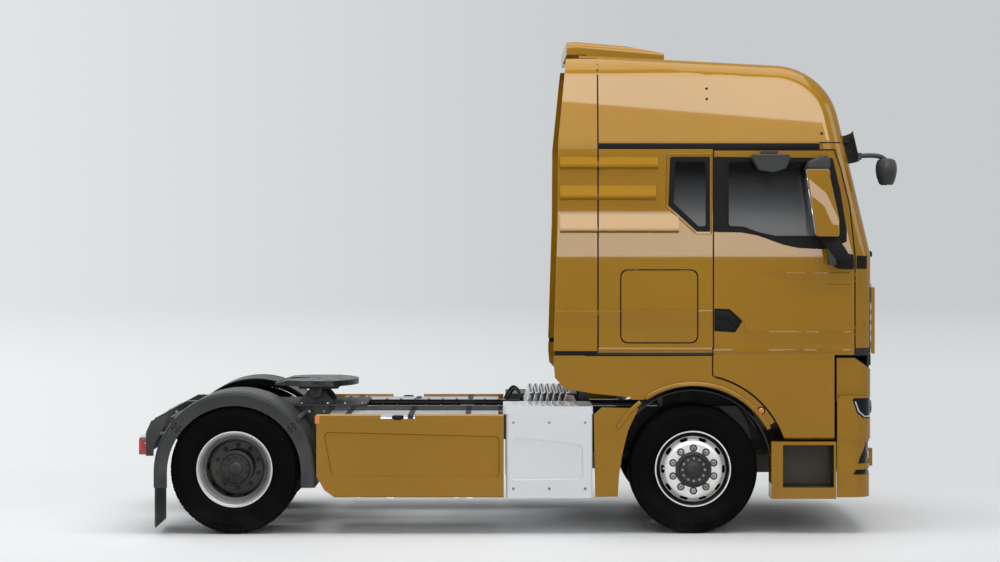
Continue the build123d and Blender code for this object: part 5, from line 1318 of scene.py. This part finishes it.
wipers = bmesh.new()
for foot, tip in (((-700, 2190), (-60, 2330)), ((150, 2190), (800, 2330))):
    line = [(foot[0] + (tip[0] - foot[0]) * s, foot[1] + (tip[1] - foot[1]) * s) for s in [i / 8 for i in range(9)]]
    points = [(nose_x(y, z) + 16 - 4 * index / 8, y, z) for index, (y, z) in enumerate(line)]
    add_tube(wipers, points[:7], 9, 8)
    blade = [(y, z + 14) for y, z in line[2:]]
    add_tube(wipers, [(nose_x(y, z) + 6, y, z) for y, z in blade], 5, 8)
    pivot = (nose_x(*line[0]), line[0][0], line[0][1])
    add_turned(wipers, [(0, -10), (24, -8), (26, 12), (20, 26), (0, 28)], pivot, "X", 20)
finish_piece("wipers", wipers, seal_rubber, "cab")

mesh_plate, mesh_tree, mesh_shader = new_material("grille_mesh", Specular_IOR_Level=0.4)
cells = mesh_tree.nodes.new("ShaderNodeTexVoronoi")
cells.feature = "DISTANCE_TO_EDGE"
cells.inputs["Scale"].default_value = 55.0
cells.inputs["Randomness"].default_value = 0.0
cells_place = mesh_tree.nodes.new("ShaderNodeTexCoord")
mesh_tree.links.new(cells_place.outputs["Object"], cells.inputs["Vector"])
# Painted shade: the holes of the grid are near black for the dark seen through them; the bump sinks them.
holes = scale_range(mesh_tree, cells.outputs["Distance"], 0.08, 0.2)
mesh_tree.links.new(mix_colour(mesh_tree, holes, srgb(48, 49, 50), srgb(6, 6, 6)), mesh_shader.inputs["Base Color"])
mesh_tree.links.new(scale_range(mesh_tree, holes, 0, 1, 0.35, 0.8), mesh_shader.inputs["Roughness"])
mesh_bump = mesh_tree.nodes.new("ShaderNodeBump")
mesh_bump.inputs["Distance"].default_value = 0.002
mesh_bump.invert = True
mesh_tree.links.new(holes, mesh_bump.inputs["Height"])
mesh_tree.links.new(mesh_bump.outputs["Normal"], mesh_shader.inputs["Normal"])

flap_back = bmesh.new()
for slot in (1480, 1565, 1650, 1735):
    inner_x = nose_x(0, slot + 25, 2860)
    add_arc_plate(flap_back, 2850 - inner_x, (-855, 855), (slot + 3, slot + 47), 3.0)
finish_piece("flap_mesh", flap_back, mesh_plate, "cab")
slats = bmesh.new()
for slot in range(6):
    foot = 880 + 60 + slot * 72
    add_arc_plate(slats, 18, (-632, 632), (foot + 2, foot + 40), 3.0)
finish_piece("grille_mesh", slats, mesh_plate, "cab")
print("windscreen band, wipers and grids made")

# %% [markdown]
# The headlamps are clear-fronted units set in the bumper's corners: a dark housing, two round
# lenses and a light strip that runs along the rear and lower edge. Fog lamps sit below behind a bar.

# %% Headlamps and fog lamps
clear_lens, lens_tree, lens_shader = new_material(
    "clear_lens", Roughness=0.05, Specular_IOR_Level=0.6, Coat_Weight=1.0, Coat_Roughness=0.02
)
lens_tree.links.new(uneven_colour(lens_tree, srgb(196, 202, 208), srgb(150, 158, 166), 70), lens_shader.inputs["Base Color"])
light_strip = bmesh.new()
strip_line = [(2640, 1040), (2668, 962), (2716, 921), (2766, 921)]
add_lip(light_strip, strip_line, -5, 5, proud=3.0, depth=3.0, closed=False, step=16)
front_line = [(-1125, 921), (-1000, 921), (-800, 921)]
add_lip(light_strip, front_line, -7, 7, proud=3.0, depth=3.0, closed=False, front=True, step=30)
pair("light_strip", light_strip, clear_lens, "chassis")
lenses = bmesh.new()
for y in (-900, -1010):
    x = nose_x(y, 985)
    add_turned(lenses, [(0, 10), (24, 9), (38, 4), (42, -2), (0, -2)], (x, y, 985), "X", 28)
pair("headlamp_lenses", lenses, clear_lens, "chassis")
bezels = bmesh.new()
for y in (-900, -1010):
    x = nose_x(y, 985)
    add_turned(bezels, [(42, -2), (43, 8), (48, 9), (52, 2), (52, -2)], (x, y, 985), "X", 28, closed=True)
pair("headlamp_bezels", bezels, steel, "chassis")
fog = bmesh.new()
for y in (-940, -1060):
    x = nose_x(y, 612)
    add_turned(fog, [(0, 9), (26, 8), (38, 3), (40, -3), (0, -3)], (x, y, 612), "X", 24)
pair("fog_lenses", fog, clear_lens, "chassis")
corner_skin = surface_of("bumper")


def corner_point(share, z):
    """A point on the right front corner of the bumper: along the front, then round to the flank."""
    if share < 0.5:
        start, aim = Vector((3.2, -0.83 - 0.38 * share, z * MM)), Vector((-1, 0, 0))
    else:
        turn = -(share - 0.5) * 2 * radians(84)
        aim = -Vector((cos(turn), sin(turn), 0))
        start = Vector((2.6, -1.02, z * MM)) - aim
    hit = corner_skin.ray_cast(start, aim)[0]
    return (hit if hit else start + aim * 0.8) - aim * 0.0012


def add_corner_glass(mesh, z_low, z_high):
    """Dark glass over the floor of the fog recess between two heights."""
    rows = []
    for level in range(5):
        z = z_low + (z_high - z_low) * level / 4
        edge_x = (2617 + (z - 462) * 105 / 260 + 9) * MM
        shares = [index / 40 for index in range(41)]
        inside = [share for share in shares if corner_point(share, z).x > edge_x]
        last = inside[-1]
        rows.append([mesh.verts.new(corner_point(last * index / 24, z) / MM) for index in range(25)])
    for low_row, high_row in zip(rows, rows[1:]):
        for index in range(24):
            mesh.faces.new((low_row[index], low_row[index + 1], high_row[index + 1], high_row[index]))


fog_glass = bmesh.new()
add_corner_glass(fog_glass, 466, 502)
add_corner_glass(fog_glass, 553, 718)
pair("fog_glass", fog_glass, black_glass, "chassis")
lip = bmesh.new()
add_arc_plate(lip, 34, (-555, 555), (455, 695), 3.0)
finish_piece("bumper_mesh", lip, mesh_plate, "chassis")
plate = bmesh.new()
add_box(plate, (2862, 2868), (-262, 262), (722, 834))
soften(plate, 5)
finish_piece("front_plate", plate, white, "chassis")
print("front finished")

# %% [markdown]
# The front mirror hangs from a round arm above the windscreen's corner. Its head is a rounded
# shell, widest at its middle, and it covers the plain block of the frame.

# %% Front mirror
shell = bmesh.new()
profile = [(0, 204), (40, 202), (68, 188), (82, 150), (84, 105), (76, 55), (62, 14), (52, -3), (0, -5)]
add_turned(shell, profile, (2900, -1100, 2747), "Z", 40)
for vertex in shell.verts:
    vertex.co.y = -1100 + (vertex.co.y + 1100) * 1.1
arm = curve_through(
    [(2690, -1100, 2968), (2760, -1100, 2972), (2830, -1100, 2968), (2880, -1100, 2948), (2894, -1100, 2915)], 6
)
add_tube(shell, arm, 19, 12)
add_box(shell, (2672, 2700), (-1135, -1065), (2938, 2992))
finish_piece("front_mirror_shell", shell, grey_plastic, "cab", ("front_mirror",))
print("front mirror made")

# %% [markdown]
# Behind the cab a catwalk of slanted aluminium treads lies over the frame. Each tread is a folded
# strip with round grip holes; the row repeats at a fixed step.

# %% Catwalk
tread = bmesh.new()
add_prism(tread, [(62, 972.5), (66, 972.5), (92, 1064), (122, 1070), (122, 1074), (88, 1068)], "XZ", -585, 585)
treads = repeated(tread, row_of_copies, aluminium, Count=7, Step=(50.0, 0, 0))
for x in (66, 410):
    add_box(treads, (x - 4, x + 26), (-585, 585), (972.3, 978))
finish_piece("catwalk_treads", treads, aluminium, "chassis")
# The grip holes are not cut: thin black discs on the treads are painted shade for the holes.
hole = bmesh.new()
add_turned(hole, [(0, 1.2), (7, 1.2), (9, -0.5), (0, -0.5)], (106, -560, 1071.5), "Z", 12)
hole = repeated(hole, row_of_copies, seal_rubber, Count=7, Step=(50.0, 0, 0))
hole = repeated(hole, row_of_copies, seal_rubber, Count=19, Step=(0, 62.0, 0))
finish_piece("catwalk_hole_shade", hole, seal_rubber, "chassis")
print("catwalk made")

# %% [markdown]
# Bolts fix the cross members and brackets to the rails, in rows of two, and their zinc heads show as
# bright dots. Air and electric lines run along the rail in clips and rise to the cab in a loop.

# %% Frame bolts, lines and brackets
def add_bolt(mesh, x, y, z, across=18, height=9, axis="Y"):
    """A hexagon bolt head on the right-hand face of something."""
    section = [
        (0, 0), (across * 0.7, 0), (across * 0.7, -2), (across * 0.55, -2.5), (across * 0.55, -height), (0, -height),
    ]
    add_turned(mesh, section, (x, y, z), axis, 6)


rail_y = -430.0
bolt = bmesh.new()
add_bolt(bolt, -2780, rail_y, 905)
add_bolt(bolt, -2780, rail_y, 760)
bolts = repeated(bolt, row_of_copies, steel, Count=27, Step=(120.0, 0, 0))
pair("frame_bolts", bolts, steel, "chassis")
flange = bmesh.new()
add_turned(flange, [(0, 9), (10, 8), (10, 0), (0, 0)], (-2400, -395, 950), "Z", 10)
flange = repeated(flange, row_of_copies, steel, Count=20, Step=(118.0, 0, 0))
bmesh.ops.delete(flange, geom=[v for v in flange.verts if -2120 < v.co.x < -1200 or v.co.x > 30], context="VERTS")
pair("flange_bolts", flange, steel, "chassis")

lines = bmesh.new()
for offset, radius in ((0, 9), (22, 7), (40, 7)):
    run = [
        (-2600, -300 + offset, 962 + radius), (-2150, -300 + offset, 962 + radius), (-1200, -300 + offset, 960 + radius),
        (-500, -310 + offset, 960 + radius), (20, -300 + offset, 960 + radius),
    ]
    keep = [point for point in run if point[0] < -2100], [point for point in run if point[0] > -1250]
    for part in keep:
        if len(part) > 1:
            add_tube(lines, curve_through(part, 6), radius, 8)
for loop in (
    [(-90, 200, 965), (-60, 215, 1010), (-30, 200, 1050), (0, 150, 1040), (20, 90, 1000), (30, 60, 975)],
    [(-110, 260, 965), (-80, 280, 1020), (-40, 270, 1065), (0, 220, 1050), (20, 160, 1005), (30, 130, 975)],
):
    add_tube(lines, curve_through(loop, 8), 11, 10)
finish_piece("air_lines", lines, seal_rubber, "chassis")

brackets = bmesh.new()
for x in (-1295, -1040, -520, -420):
    add_prism(brackets, [(x, 292), (x + 62, 292), (x + 56, 276), (x + 6, 276)], "XZ", -1240, -1150)
soften(brackets, 3)
pair("fairing_brackets", brackets, aluminium, "chassis")
cap = bmesh.new()
add_turned(cap, [(0, 34), (40, 34), (46, 28), (46, 0), (0, 0)], (-948, -1215, 897), "Z", 28)
add_box(cap, (-1076, -820), (-1214, -1180), (888, 904))
soften(cap, 3)
pair("filler_cap", cap, seal_rubber, "chassis")
straps = bmesh.new()
for x in (-1350, -850, -400):
    y_in, y_out = -496, -1216
    outline = rounded([(y_out + 2, 322), (y_in - 2, 322), (y_in - 2, 928), (y_out + 2, 928)], 92, 6)
    add_frame(straps, drawn_in(outline, -1.5), drawn_in(outline, 2), "YZ", x - 22, x + 22)
pair("tank_straps", straps, seal_rubber, "chassis")
print("bolts, lines and brackets made")

# %% [markdown]
# The silencer sits under a white cover fixed with six screws. On the left the battery box has a lid
# with two catches. Louvres in the cover's lid let hot air out.

# %% Box screws and louvres
screws = bmesh.new()
for px, py in ((-42, 876), (239, 876), (520, 876), (-42, 359), (239, 359), (520, 359)):
    add_turned(screws, [(0, -4), (8, -4), (11, -1.5), (11, 2), (0, 2)], (px, -1250, py), "Y", 16)
    add_turned(screws, [(0, -5.5), (4, -5.5), (4, -2), (0, -2)], (px, -1250, py), "Y", 6)
finish_piece("cover_screws", screws, steel, "chassis")
louvre = bmesh.new()
add_prism(louvre, [(-40, 1003), (-12, 1003), (-40, 1012)], "XZ", -1130, -760)
louvres = repeated(louvre, row_of_copies, white, Count=9, Step=(60.0, 0, 0))
finish_piece("cover_louvres", louvres, white, "chassis")
catches = bmesh.new()
for x in (60, 400):
    add_box(catches, (x - 24, x + 24), (1249, 1258), (880, 950))
    add_box(catches, (x - 12, x + 12), (1256, 1264), (890, 935))
add_frame(
    catches,
    [(-96, 290), (573, 290), (573, 862), (-96, 862)],
    [(-90, 296), (567, 296), (567, 856), (-90, 856)],
    "XZ", 1249, 1252,
)
soften(catches, 2.5)
finish_piece("battery_catches", catches, steel, "chassis")
print("trim of the side boxes made")

# %% [markdown]
# The rear mudguards are moulded in three parts: two dark joints run over them, with a button each
# side. The flap behind has moulded ribs. Bellows carry the rear axle on the frame.

# %% Mudguards, flaps and bellows
joints = bmesh.new()
guard_middle = Vector((rear_axle, 0, axle_z - 25))
for angle in (38, 142):
    turn = radians(angle)
    along = Vector((-sin(turn), 0, cos(turn)))
    out = Vector((cos(turn), 0, sin(turn)))
    middle = guard_middle + out * 634.8
    corners = [middle + along * a + out * b for a, b in ((-4, -3), (4, -3), (4, 1.2), (-4, 1.2))]
    add_prism(joints, [(c.x, c.z) for c in corners], "XZ", -1212, -604)
    for reach in (596, 556):
        spot = guard_middle + out * reach
        for side in (-22, 22):
            where = spot + along * side
            add_turned(joints, [(0, -4), (7, -3.5), (9, 0), (9, 2), (0, 2)], (where.x, -1250, where.z), "Y", 12)
    face = [guard_middle + out * r + along * a for r, a in ((530, -3), (530, 3), (612, 3), (612, -3))]
    add_prism(joints, [(c.x, c.z) for c in face], "XZ", -1251.2, -1248)
pair("mudguard_joints", joints, seal_rubber, "chassis")
ribs = bmesh.new()
add_box(ribs, (-2854.5, -2850), (-1225, -1205), (70, 400))
ribs = repeated(ribs, row_of_copies, grey_plastic, Count=9, Step=(0, 72.0, 0))
pair("flap_ribs", ribs, grey_plastic, "chassis")
bellows = bmesh.new()
profile = [
    (0, 950), (70, 950), (96, 940), (108, 915), (112, 880), (106, 855), (96, 848), (106, 838), (112, 812),
    (108, 775), (92, 745), (78, 730), (78, 700), (0, 700),
]
for x in (-2520, -1960):
    add_turned(bellows, profile, (x, -515, 0), "Z", 36)
pair("air_bellows", bellows, seal_rubber, "chassis")
print("mudguard joints, flap ribs and bellows made")

# %% [markdown]
# The coupling plate is a thick casting whose greased top has concentric grooves, and bolts hold its
# base plate to the frame. Under the plate the casting is ribbed.

# %% Coupling plate
greased, grease_tree, grease_shader = new_material("greased_plate", Metallic=0.5)
grease_place = grease_tree.nodes.new("ShaderNodeTexCoord")
grease_map = grease_tree.nodes.new("ShaderNodeMapping")
grease_map.inputs["Location"].default_value = (1.655, 0, 0)
grease_tree.links.new(grease_place.outputs["Object"], grease_map.inputs["Vector"])
rings = grease_tree.nodes.new("ShaderNodeTexWave")
rings.wave_type = "RINGS"
rings.rings_direction = "Z"
rings.inputs["Scale"].default_value = 9.0
rings.inputs["Distortion"].default_value = 1.2
grease_tree.links.new(grease_map.outputs["Vector"], rings.inputs["Vector"])
smear = scale_range(grease_tree, noise(grease_tree, 12.0, 5.0), 0.35, 0.7)
grease_tree.links.new(mix_colour(grease_tree, smear, srgb(30, 30, 31), srgb(74, 73, 71)), grease_shader.inputs["Base Color"])
grease_tree.links.new(scale_range(grease_tree, smear, 0, 1, 0.25, 0.5), grease_shader.inputs["Roughness"])
grease_bump = grease_tree.nodes.new("ShaderNodeBump")
grease_bump.inputs["Distance"].default_value = 0.0006
grease_tree.links.new(rings.outputs["Fac"], grease_bump.inputs["Height"])
grease_tree.links.new(grease_bump.outputs["Normal"], grease_shader.inputs["Normal"])
paint_node("coupling_plate", greased)

under = bmesh.new()
for y in (-400, -200, -60, 60, 200, 400):
    add_prism(under, [(-1800, 1111), (-1450, 1111), (-1470, 1088), (-1780, 1088)], "XZ", y - 7, y + 7)
soften(under, 3)
finish_piece("coupling_ribs", under, cast_metal, "coupling_plate")
heads = bmesh.new()
for x in (-2040, -1900, -1760, -1550, -1410, -1270):
    for y in (-400, 400):
        add_turned(heads, [(0, 12), (12, 12), (14, 9), (14, 0), (0, 0)], (x, y, 966), "Z", 6)
finish_piece("coupling_bolts", heads, steel, "chassis")
print("coupling trim made")

# %% [markdown]
# Each tail lamp is a row of chambers under one moulding: red for tail and brake, amber for turning,
# clear for reversing. The pale top edge is the clear rim of the moulding.

# %% Tail lamps and plate
red_lens, red_tree, red_shader = new_material("red_lens", Roughness=0.12, Coat_Weight=0.8, Emission_Strength=0.15)
red_tree.links.new(uneven_colour(red_tree, srgb(186, 22, 24), srgb(140, 12, 16), 80), red_shader.inputs["Base Color"])
red_shader.inputs["Emission Color"].default_value = srgb(190, 20, 22)
tail = bmesh.new()
for low, high in ((-1192, -1100), (-1020, -930)):
    add_box(tail, (-2983, -2919), (low, high), (624, 744))
soften(tail, 6)
pair("tail_red", tail, red_lens, "chassis")
tail = bmesh.new()
add_box(tail, (-2982, -2919), (-1097, -1023), (624, 744))
soften(tail, 6)
pair("tail_amber", tail, amber, "chassis")
tail = bmesh.new()
add_box(tail, (-2981, -2919), (-927, -820), (624, 744))
add_box(tail, (-2982, -2919), (-1192, -820), (747, 761))
soften(tail, 5)
pair("tail_clear", tail, clear_lens, "chassis")
plate = bmesh.new()
add_box(plate, (-2928, -2922), (-260, 260), (640, 750))
soften(plate, 4)
finish_piece("rear_plate", plate, white, "chassis")
print("tail lamps and plate made")

# %% [markdown]
# The steps are boxes with a deep niche, whose faces carry a dark gold as painted shade. Their treads
# are grey gratings, and the upper tread shows under the door's skirt. A black strip marks the joint at
# the outer edge of the arch band with painted shade, and a black block in the slit under the deflector
# is painted shade. A rolled band in body colour runs round the arch and on over the side fairing.

# %% Steps and arch edge
tread = bmesh.new()
add_box(tread, (2078, 2090), (-1216, -1024), (366, 374))
tread = repeated(tread, row_of_copies, grey_plastic, Count=16, Step=(24.6, 0, 0))
pair("step_treads", tread, grey_plastic, "chassis")
# The faces inside the step niche get a dark gold as painted shade.
niche_shade_gold = make_paint("niche_painted_shade", srgb(56, 43, 18), srgb(46, 35, 15), 0.2, 0.5, 0.2, 0.8, 0.0, 0.3)
for_niche = split_faces("entry_steps", lambda x, y, z: 2068 < x < 2476 and 362 < z < 701 and y < 1216, niche_shade_gold)
# The strip along the arch band's outer joint and the block under the deflector are painted shade.
arch = bmesh.new()
points = []
for index in range(13):
    turn = radians(31 + index * 3.8)
    points.append((front_axle + 742 * cos(turn), axle_z + 742 * sin(turn)))
points = [(2004, 868), (1936, 836)][::-1] + points
add_lip(arch, points, -5, 3, proud=0.6, depth=2, closed=False, step=60)
add_box(arch, (282, 618), (-1211, -1196), (1398, 1438))
pair("arch_seam_shade", arch, seal_rubber, "cab")
roll = bmesh.new()
points = [
    (front_axle + 674 * cos(radians(28 + index * 4)), axle_z + 674 * sin(radians(28 + index * 4))) for index in range(25)
]
add_lip(roll, points, -17, 17, proud=14, depth=3, closed=False, step=40)
soften(roll, 12, 3, 50)
pair("arch_roll", roll, gold, "cab")
fairing_roll = bmesh.new()
points = [
    (front_axle + 674 * cos(radians(128 + index * 4)), axle_z + 674 * sin(radians(128 + index * 4))) for index in range(7)
]
add_lip(fairing_roll, points, -17, 17, proud=14, depth=3, closed=False, step=40)
soften(fairing_roll, 12, 3, 50)
pair("fairing_roll", fairing_roll, gold, "chassis")
print("niche faces", for_niche)

# %% [markdown]
# Seat cushions and the bunk's mattress are foam in a cloth cover, crowned between their seams. A
# plain block is remeshed, then a cloth simulation with a little pressure swells it, which rounds the
# faces and pulls the edges in as real upholstery does. Points may only move a little.

# %% Cushions
cloth = bpy.data.materials.new("seat_cloth")
cloth.use_nodes = True
cloth_tree = cloth.node_tree
cloth_shader = cloth_tree.nodes["Principled BSDF"]
cloth_shader.inputs["Roughness"].default_value = 0.85
cloth_shader.inputs["Sheen Weight"].default_value = 0.3
weave = group_node(cloth_tree, woven_cloth, Scale=420.0, Dark=srgb(34, 35, 38), Light=srgb(66, 68, 72))
cloth_tree.links.new(weave.outputs["Colour"], cloth_shader.inputs["Base Color"])
cloth_tree.links.new(weave.outputs["Normal"], cloth_shader.inputs["Normal"])
mattress = bpy.data.materials.new("mattress_cloth")
mattress.use_nodes = True
mattress_tree = mattress.node_tree
mattress_shader = mattress_tree.nodes["Principled BSDF"]
mattress_shader.inputs["Roughness"].default_value = 0.9
mattress_shader.inputs["Sheen Weight"].default_value = 0.2
weave = group_node(mattress_tree, woven_cloth, Scale=300.0, Dark=srgb(92, 94, 98), Light=srgb(128, 130, 134))
mattress_tree.links.new(weave.outputs["Colour"], mattress_shader.inputs["Base Color"])
mattress_tree.links.new(weave.outputs["Normal"], mattress_shader.inputs["Normal"])


def swell(piece, voxel, cap):
    """Swell a closed piece by cloth pressure and keep every point within a cap, in metres."""
    remesh = piece.modifiers.new("remesh", "REMESH")
    remesh.mode = "VOXEL"
    remesh.voxel_size = voxel
    depsgraph = bpy.context.evaluated_depsgraph_get()
    data = bpy.data.meshes.new_from_object(piece.evaluated_get(depsgraph))
    piece.modifiers.clear()
    finish = piece.data.materials[0]
    piece.data = data
    data.materials.clear()
    data.materials.append(finish)
    start = [vertex.co.copy() for vertex in data.vertices]
    modifier = piece.modifiers.new("cloth", "CLOTH")
    settings = modifier.settings
    settings.quality = 4
    settings.use_pressure = True
    settings.uniform_pressure_force = 4.0
    settings.effector_weights.gravity = 0.0
    modifier.point_cache.frame_start = 1
    modifier.point_cache.frame_end = 20
    scene = bpy.context.scene
    for frame_number in range(1, 21):
        scene.frame_set(frame_number)
    depsgraph = bpy.context.evaluated_depsgraph_get()
    swollen = [vertex.co.copy() for vertex in piece.evaluated_get(depsgraph).data.vertices]
    piece.modifiers.clear()
    scene.frame_set(1)
    for vertex, before, after in zip(data.vertices, start, swollen):
        move = after - before
        vertex.co = before + (move if move.length <= cap else move.normalized() * cap)
    for face in data.polygons:
        face.use_smooth = True


def cushion(name, outline, y, body="cab", material=cloth, round_by=26, voxel=0.016, cap=0.014, replaces=()):
    """A padded form from an outline seen from the side."""
    mesh = bmesh.new()
    add_prism(mesh, rounded(outline, round_by), "XZ", *y)
    soften(mesh, 24, 3, 50)
    piece = finish_piece(name, mesh, material, body, replaces, 70)
    swell(piece, voxel, cap)
    return piece


def seat(side, label, replaces):
    """A driver's or passenger's seat: base, backrest, head rest and plinth."""
    middle = 560 * side
    wide = (middle - 225, middle + 225)
    cushion(
        "seat_base_" + label, [(1560, 1905), (2040, 1925), (2056, 1985), (2030, 2030), (1640, 2020), (1560, 1990)], wide,
        replaces=replaces,
    )
    back = [(1470, 1990), (1620, 2010), (1560, 2330), (1500, 2480), (1392, 2470), (1400, 2300)]
    cushion("seat_back_" + label, back, (wide[0] + 12, wide[1] - 12))
    cushion("head_rest_" + label, [(1400, 2500), (1492, 2500), (1472, 2680), (1392, 2672)], (middle - 130, middle + 130))
    shell = bmesh.new()
    add_prism(shell, [(1600, 1462), (1990, 1462), (1960, 1560), (1630, 1560)], "XZ", middle - 170, middle + 170)
    for level in range(4):
        low = 1562 + level * 68
        pleat = [
            (1620, low), (1970, low), (1985, low + 32), (1970, low + 64), (1620, low + 64), (1605, low + 32),
        ]
        add_prism(shell, rounded(pleat, 8), "XZ", middle - 160, middle + 160)
    add_prism(shell, [(1560, 1838), (2030, 1838), (2040, 1902), (1556, 1902)], "XZ", middle - 215, middle + 215)
    for offset in (-70, 70):
        add_tube(shell, [(1446, middle + offset, 2440), (1440, middle + offset, 2520)], 7)
    soften(shell, 6)
    finish_piece("seat_plinth_" + label, shell, dark_plastic, "cab")
    rests = bmesh.new()
    for offset in (-262, 262):
        rest = rounded([(1560, 2180), (1880, 2200), (1890, 2236), (1560, 2232)], 16)
        add_prism(rests, rest, "XZ", middle + offset - 26, middle + offset + 26)
    soften(rests, 12, 3)
    finish_piece("arm_rests_" + label, rests, dark_plastic, "cab")


seat(-1, "right", ("seats",))
seat(1, "left", ())
bunk_low, bunk_high = (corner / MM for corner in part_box("bunk"))
print("bunk", [round(v) for v in bunk_low], [round(v) for v in bunk_high])
pad = bmesh.new()
add_box(pad, (556, 1216), (-1120, 1120), (1886, 1996))
soften(pad, 36, 4, 50)
pad_piece = finish_piece("bunk_mattress", pad, mattress, "cab", ("bunk",), 70)
swell(pad_piece, 0.03, 0.012)
base = bmesh.new()
add_box(base, (552, 1218), (-1130, 1130), (1462, 1882))
soften(base, 14, 2)
finish_piece("bunk_base", base, dark_plastic, "cab")

# %% [markdown]
# The steering wheel has a leather rim on a spoked hub. The dashboard holds a wide screen behind the
# wheel and a smaller one in the middle, vents and a row of buttons.

# %% Steering wheel and dashboard
leather, leather_tree, leather_shader = new_material("rim_leather", Roughness=0.5)
leather_cells = leather_tree.nodes.new("ShaderNodeTexVoronoi")
leather_cells.inputs["Scale"].default_value = 700.0
leather_place = leather_tree.nodes.new("ShaderNodeTexCoord")
leather_tree.links.new(leather_place.outputs["Object"], leather_cells.inputs["Vector"])
leather_bump = leather_tree.nodes.new("ShaderNodeBump")
leather_bump.inputs["Distance"].default_value = 0.0004
leather_tree.links.new(leather_cells.outputs["Distance"], leather_bump.inputs["Height"])
leather_tree.links.new(leather_bump.outputs["Normal"], leather_shader.inputs["Normal"])
leather_tree.links.new(
    uneven_colour(leather_tree, srgb(30, 30, 31), srgb(44, 44, 46), 30), leather_shader.inputs["Base Color"]
)

wheel_middle = Vector((2230, 560, 2160))
column_foot = Vector((2470, 560, 1960))
axis = (wheel_middle - column_foot).normalized()
turn_to_axis = Vector((0, 1, 0)).rotation_difference(axis).to_matrix()
rim = bmesh.new()
section = [(215 + 17 * cos(2 * pi * k / 12), 15 * sin(2 * pi * k / 12)) for k in range(12)]
add_turned(rim, section, (0, 0, 0), "Y", 64, closed=True)
for degrees_round in (0, 180, 300, 240):
    turn = radians(degrees_round)
    spoke = [(reach * cos(turn), along, reach * sin(turn)) for reach, along in ((60, -18), (140, -14), (212, 0))]
    add_tube(rim, spoke, 12, 8)
add_turned(rim, [(0, 16), (48, 14), (72, 4), (82, -10), (80, -34), (60, -44), (0, -44)], (0, 0, 0), "Y", 32)
bmesh.ops.rotate(rim, verts=rim.verts, cent=(0, 0, 0), matrix=turn_to_axis)
bmesh.ops.translate(rim, verts=rim.verts, vec=wheel_middle)
add_tube(rim, [wheel_middle - axis * 40, wheel_middle - axis * 150, column_foot - axis * -20], 32, 16)
finish_piece("steering_rim", rim, leather, "cab", ("steering_wheel",))

screen_glow, glow_tree, glow_shader = new_material("dash_screen", Roughness=0.08, Emission_Strength=0.25)
glow_tree.links.new(uneven_colour(glow_tree, srgb(26, 34, 44), srgb(50, 66, 84), 14), glow_shader.inputs["Base Color"])
glow_shader.inputs["Emission Color"].default_value = srgb(60, 84, 110)
dash = bmesh.new()
add_prism(dash, [(2392, 2160), (2400, 2158), (2436, 2262), (2428, 2266)], "XZ", 400, 720)
add_prism(dash, [(2380, 2040), (2388, 2038), (2410, 2168), (2402, 2172)], "XZ", -60, 240)
soften(dash, 2)
finish_piece("dash_screens", dash, screen_glow, "cab")
vents = bmesh.new()
for y in (-900, -500, -180, 300, 860):
    add_prism(vents, rounded([(2392, 2070), (2402, 2066), (2418, 2126), (2408, 2130)], 2), "XZ", y - 60, y + 60)
soften(vents, 2)
finish_piece("dash_vents", vents, seal_rubber, "cab")
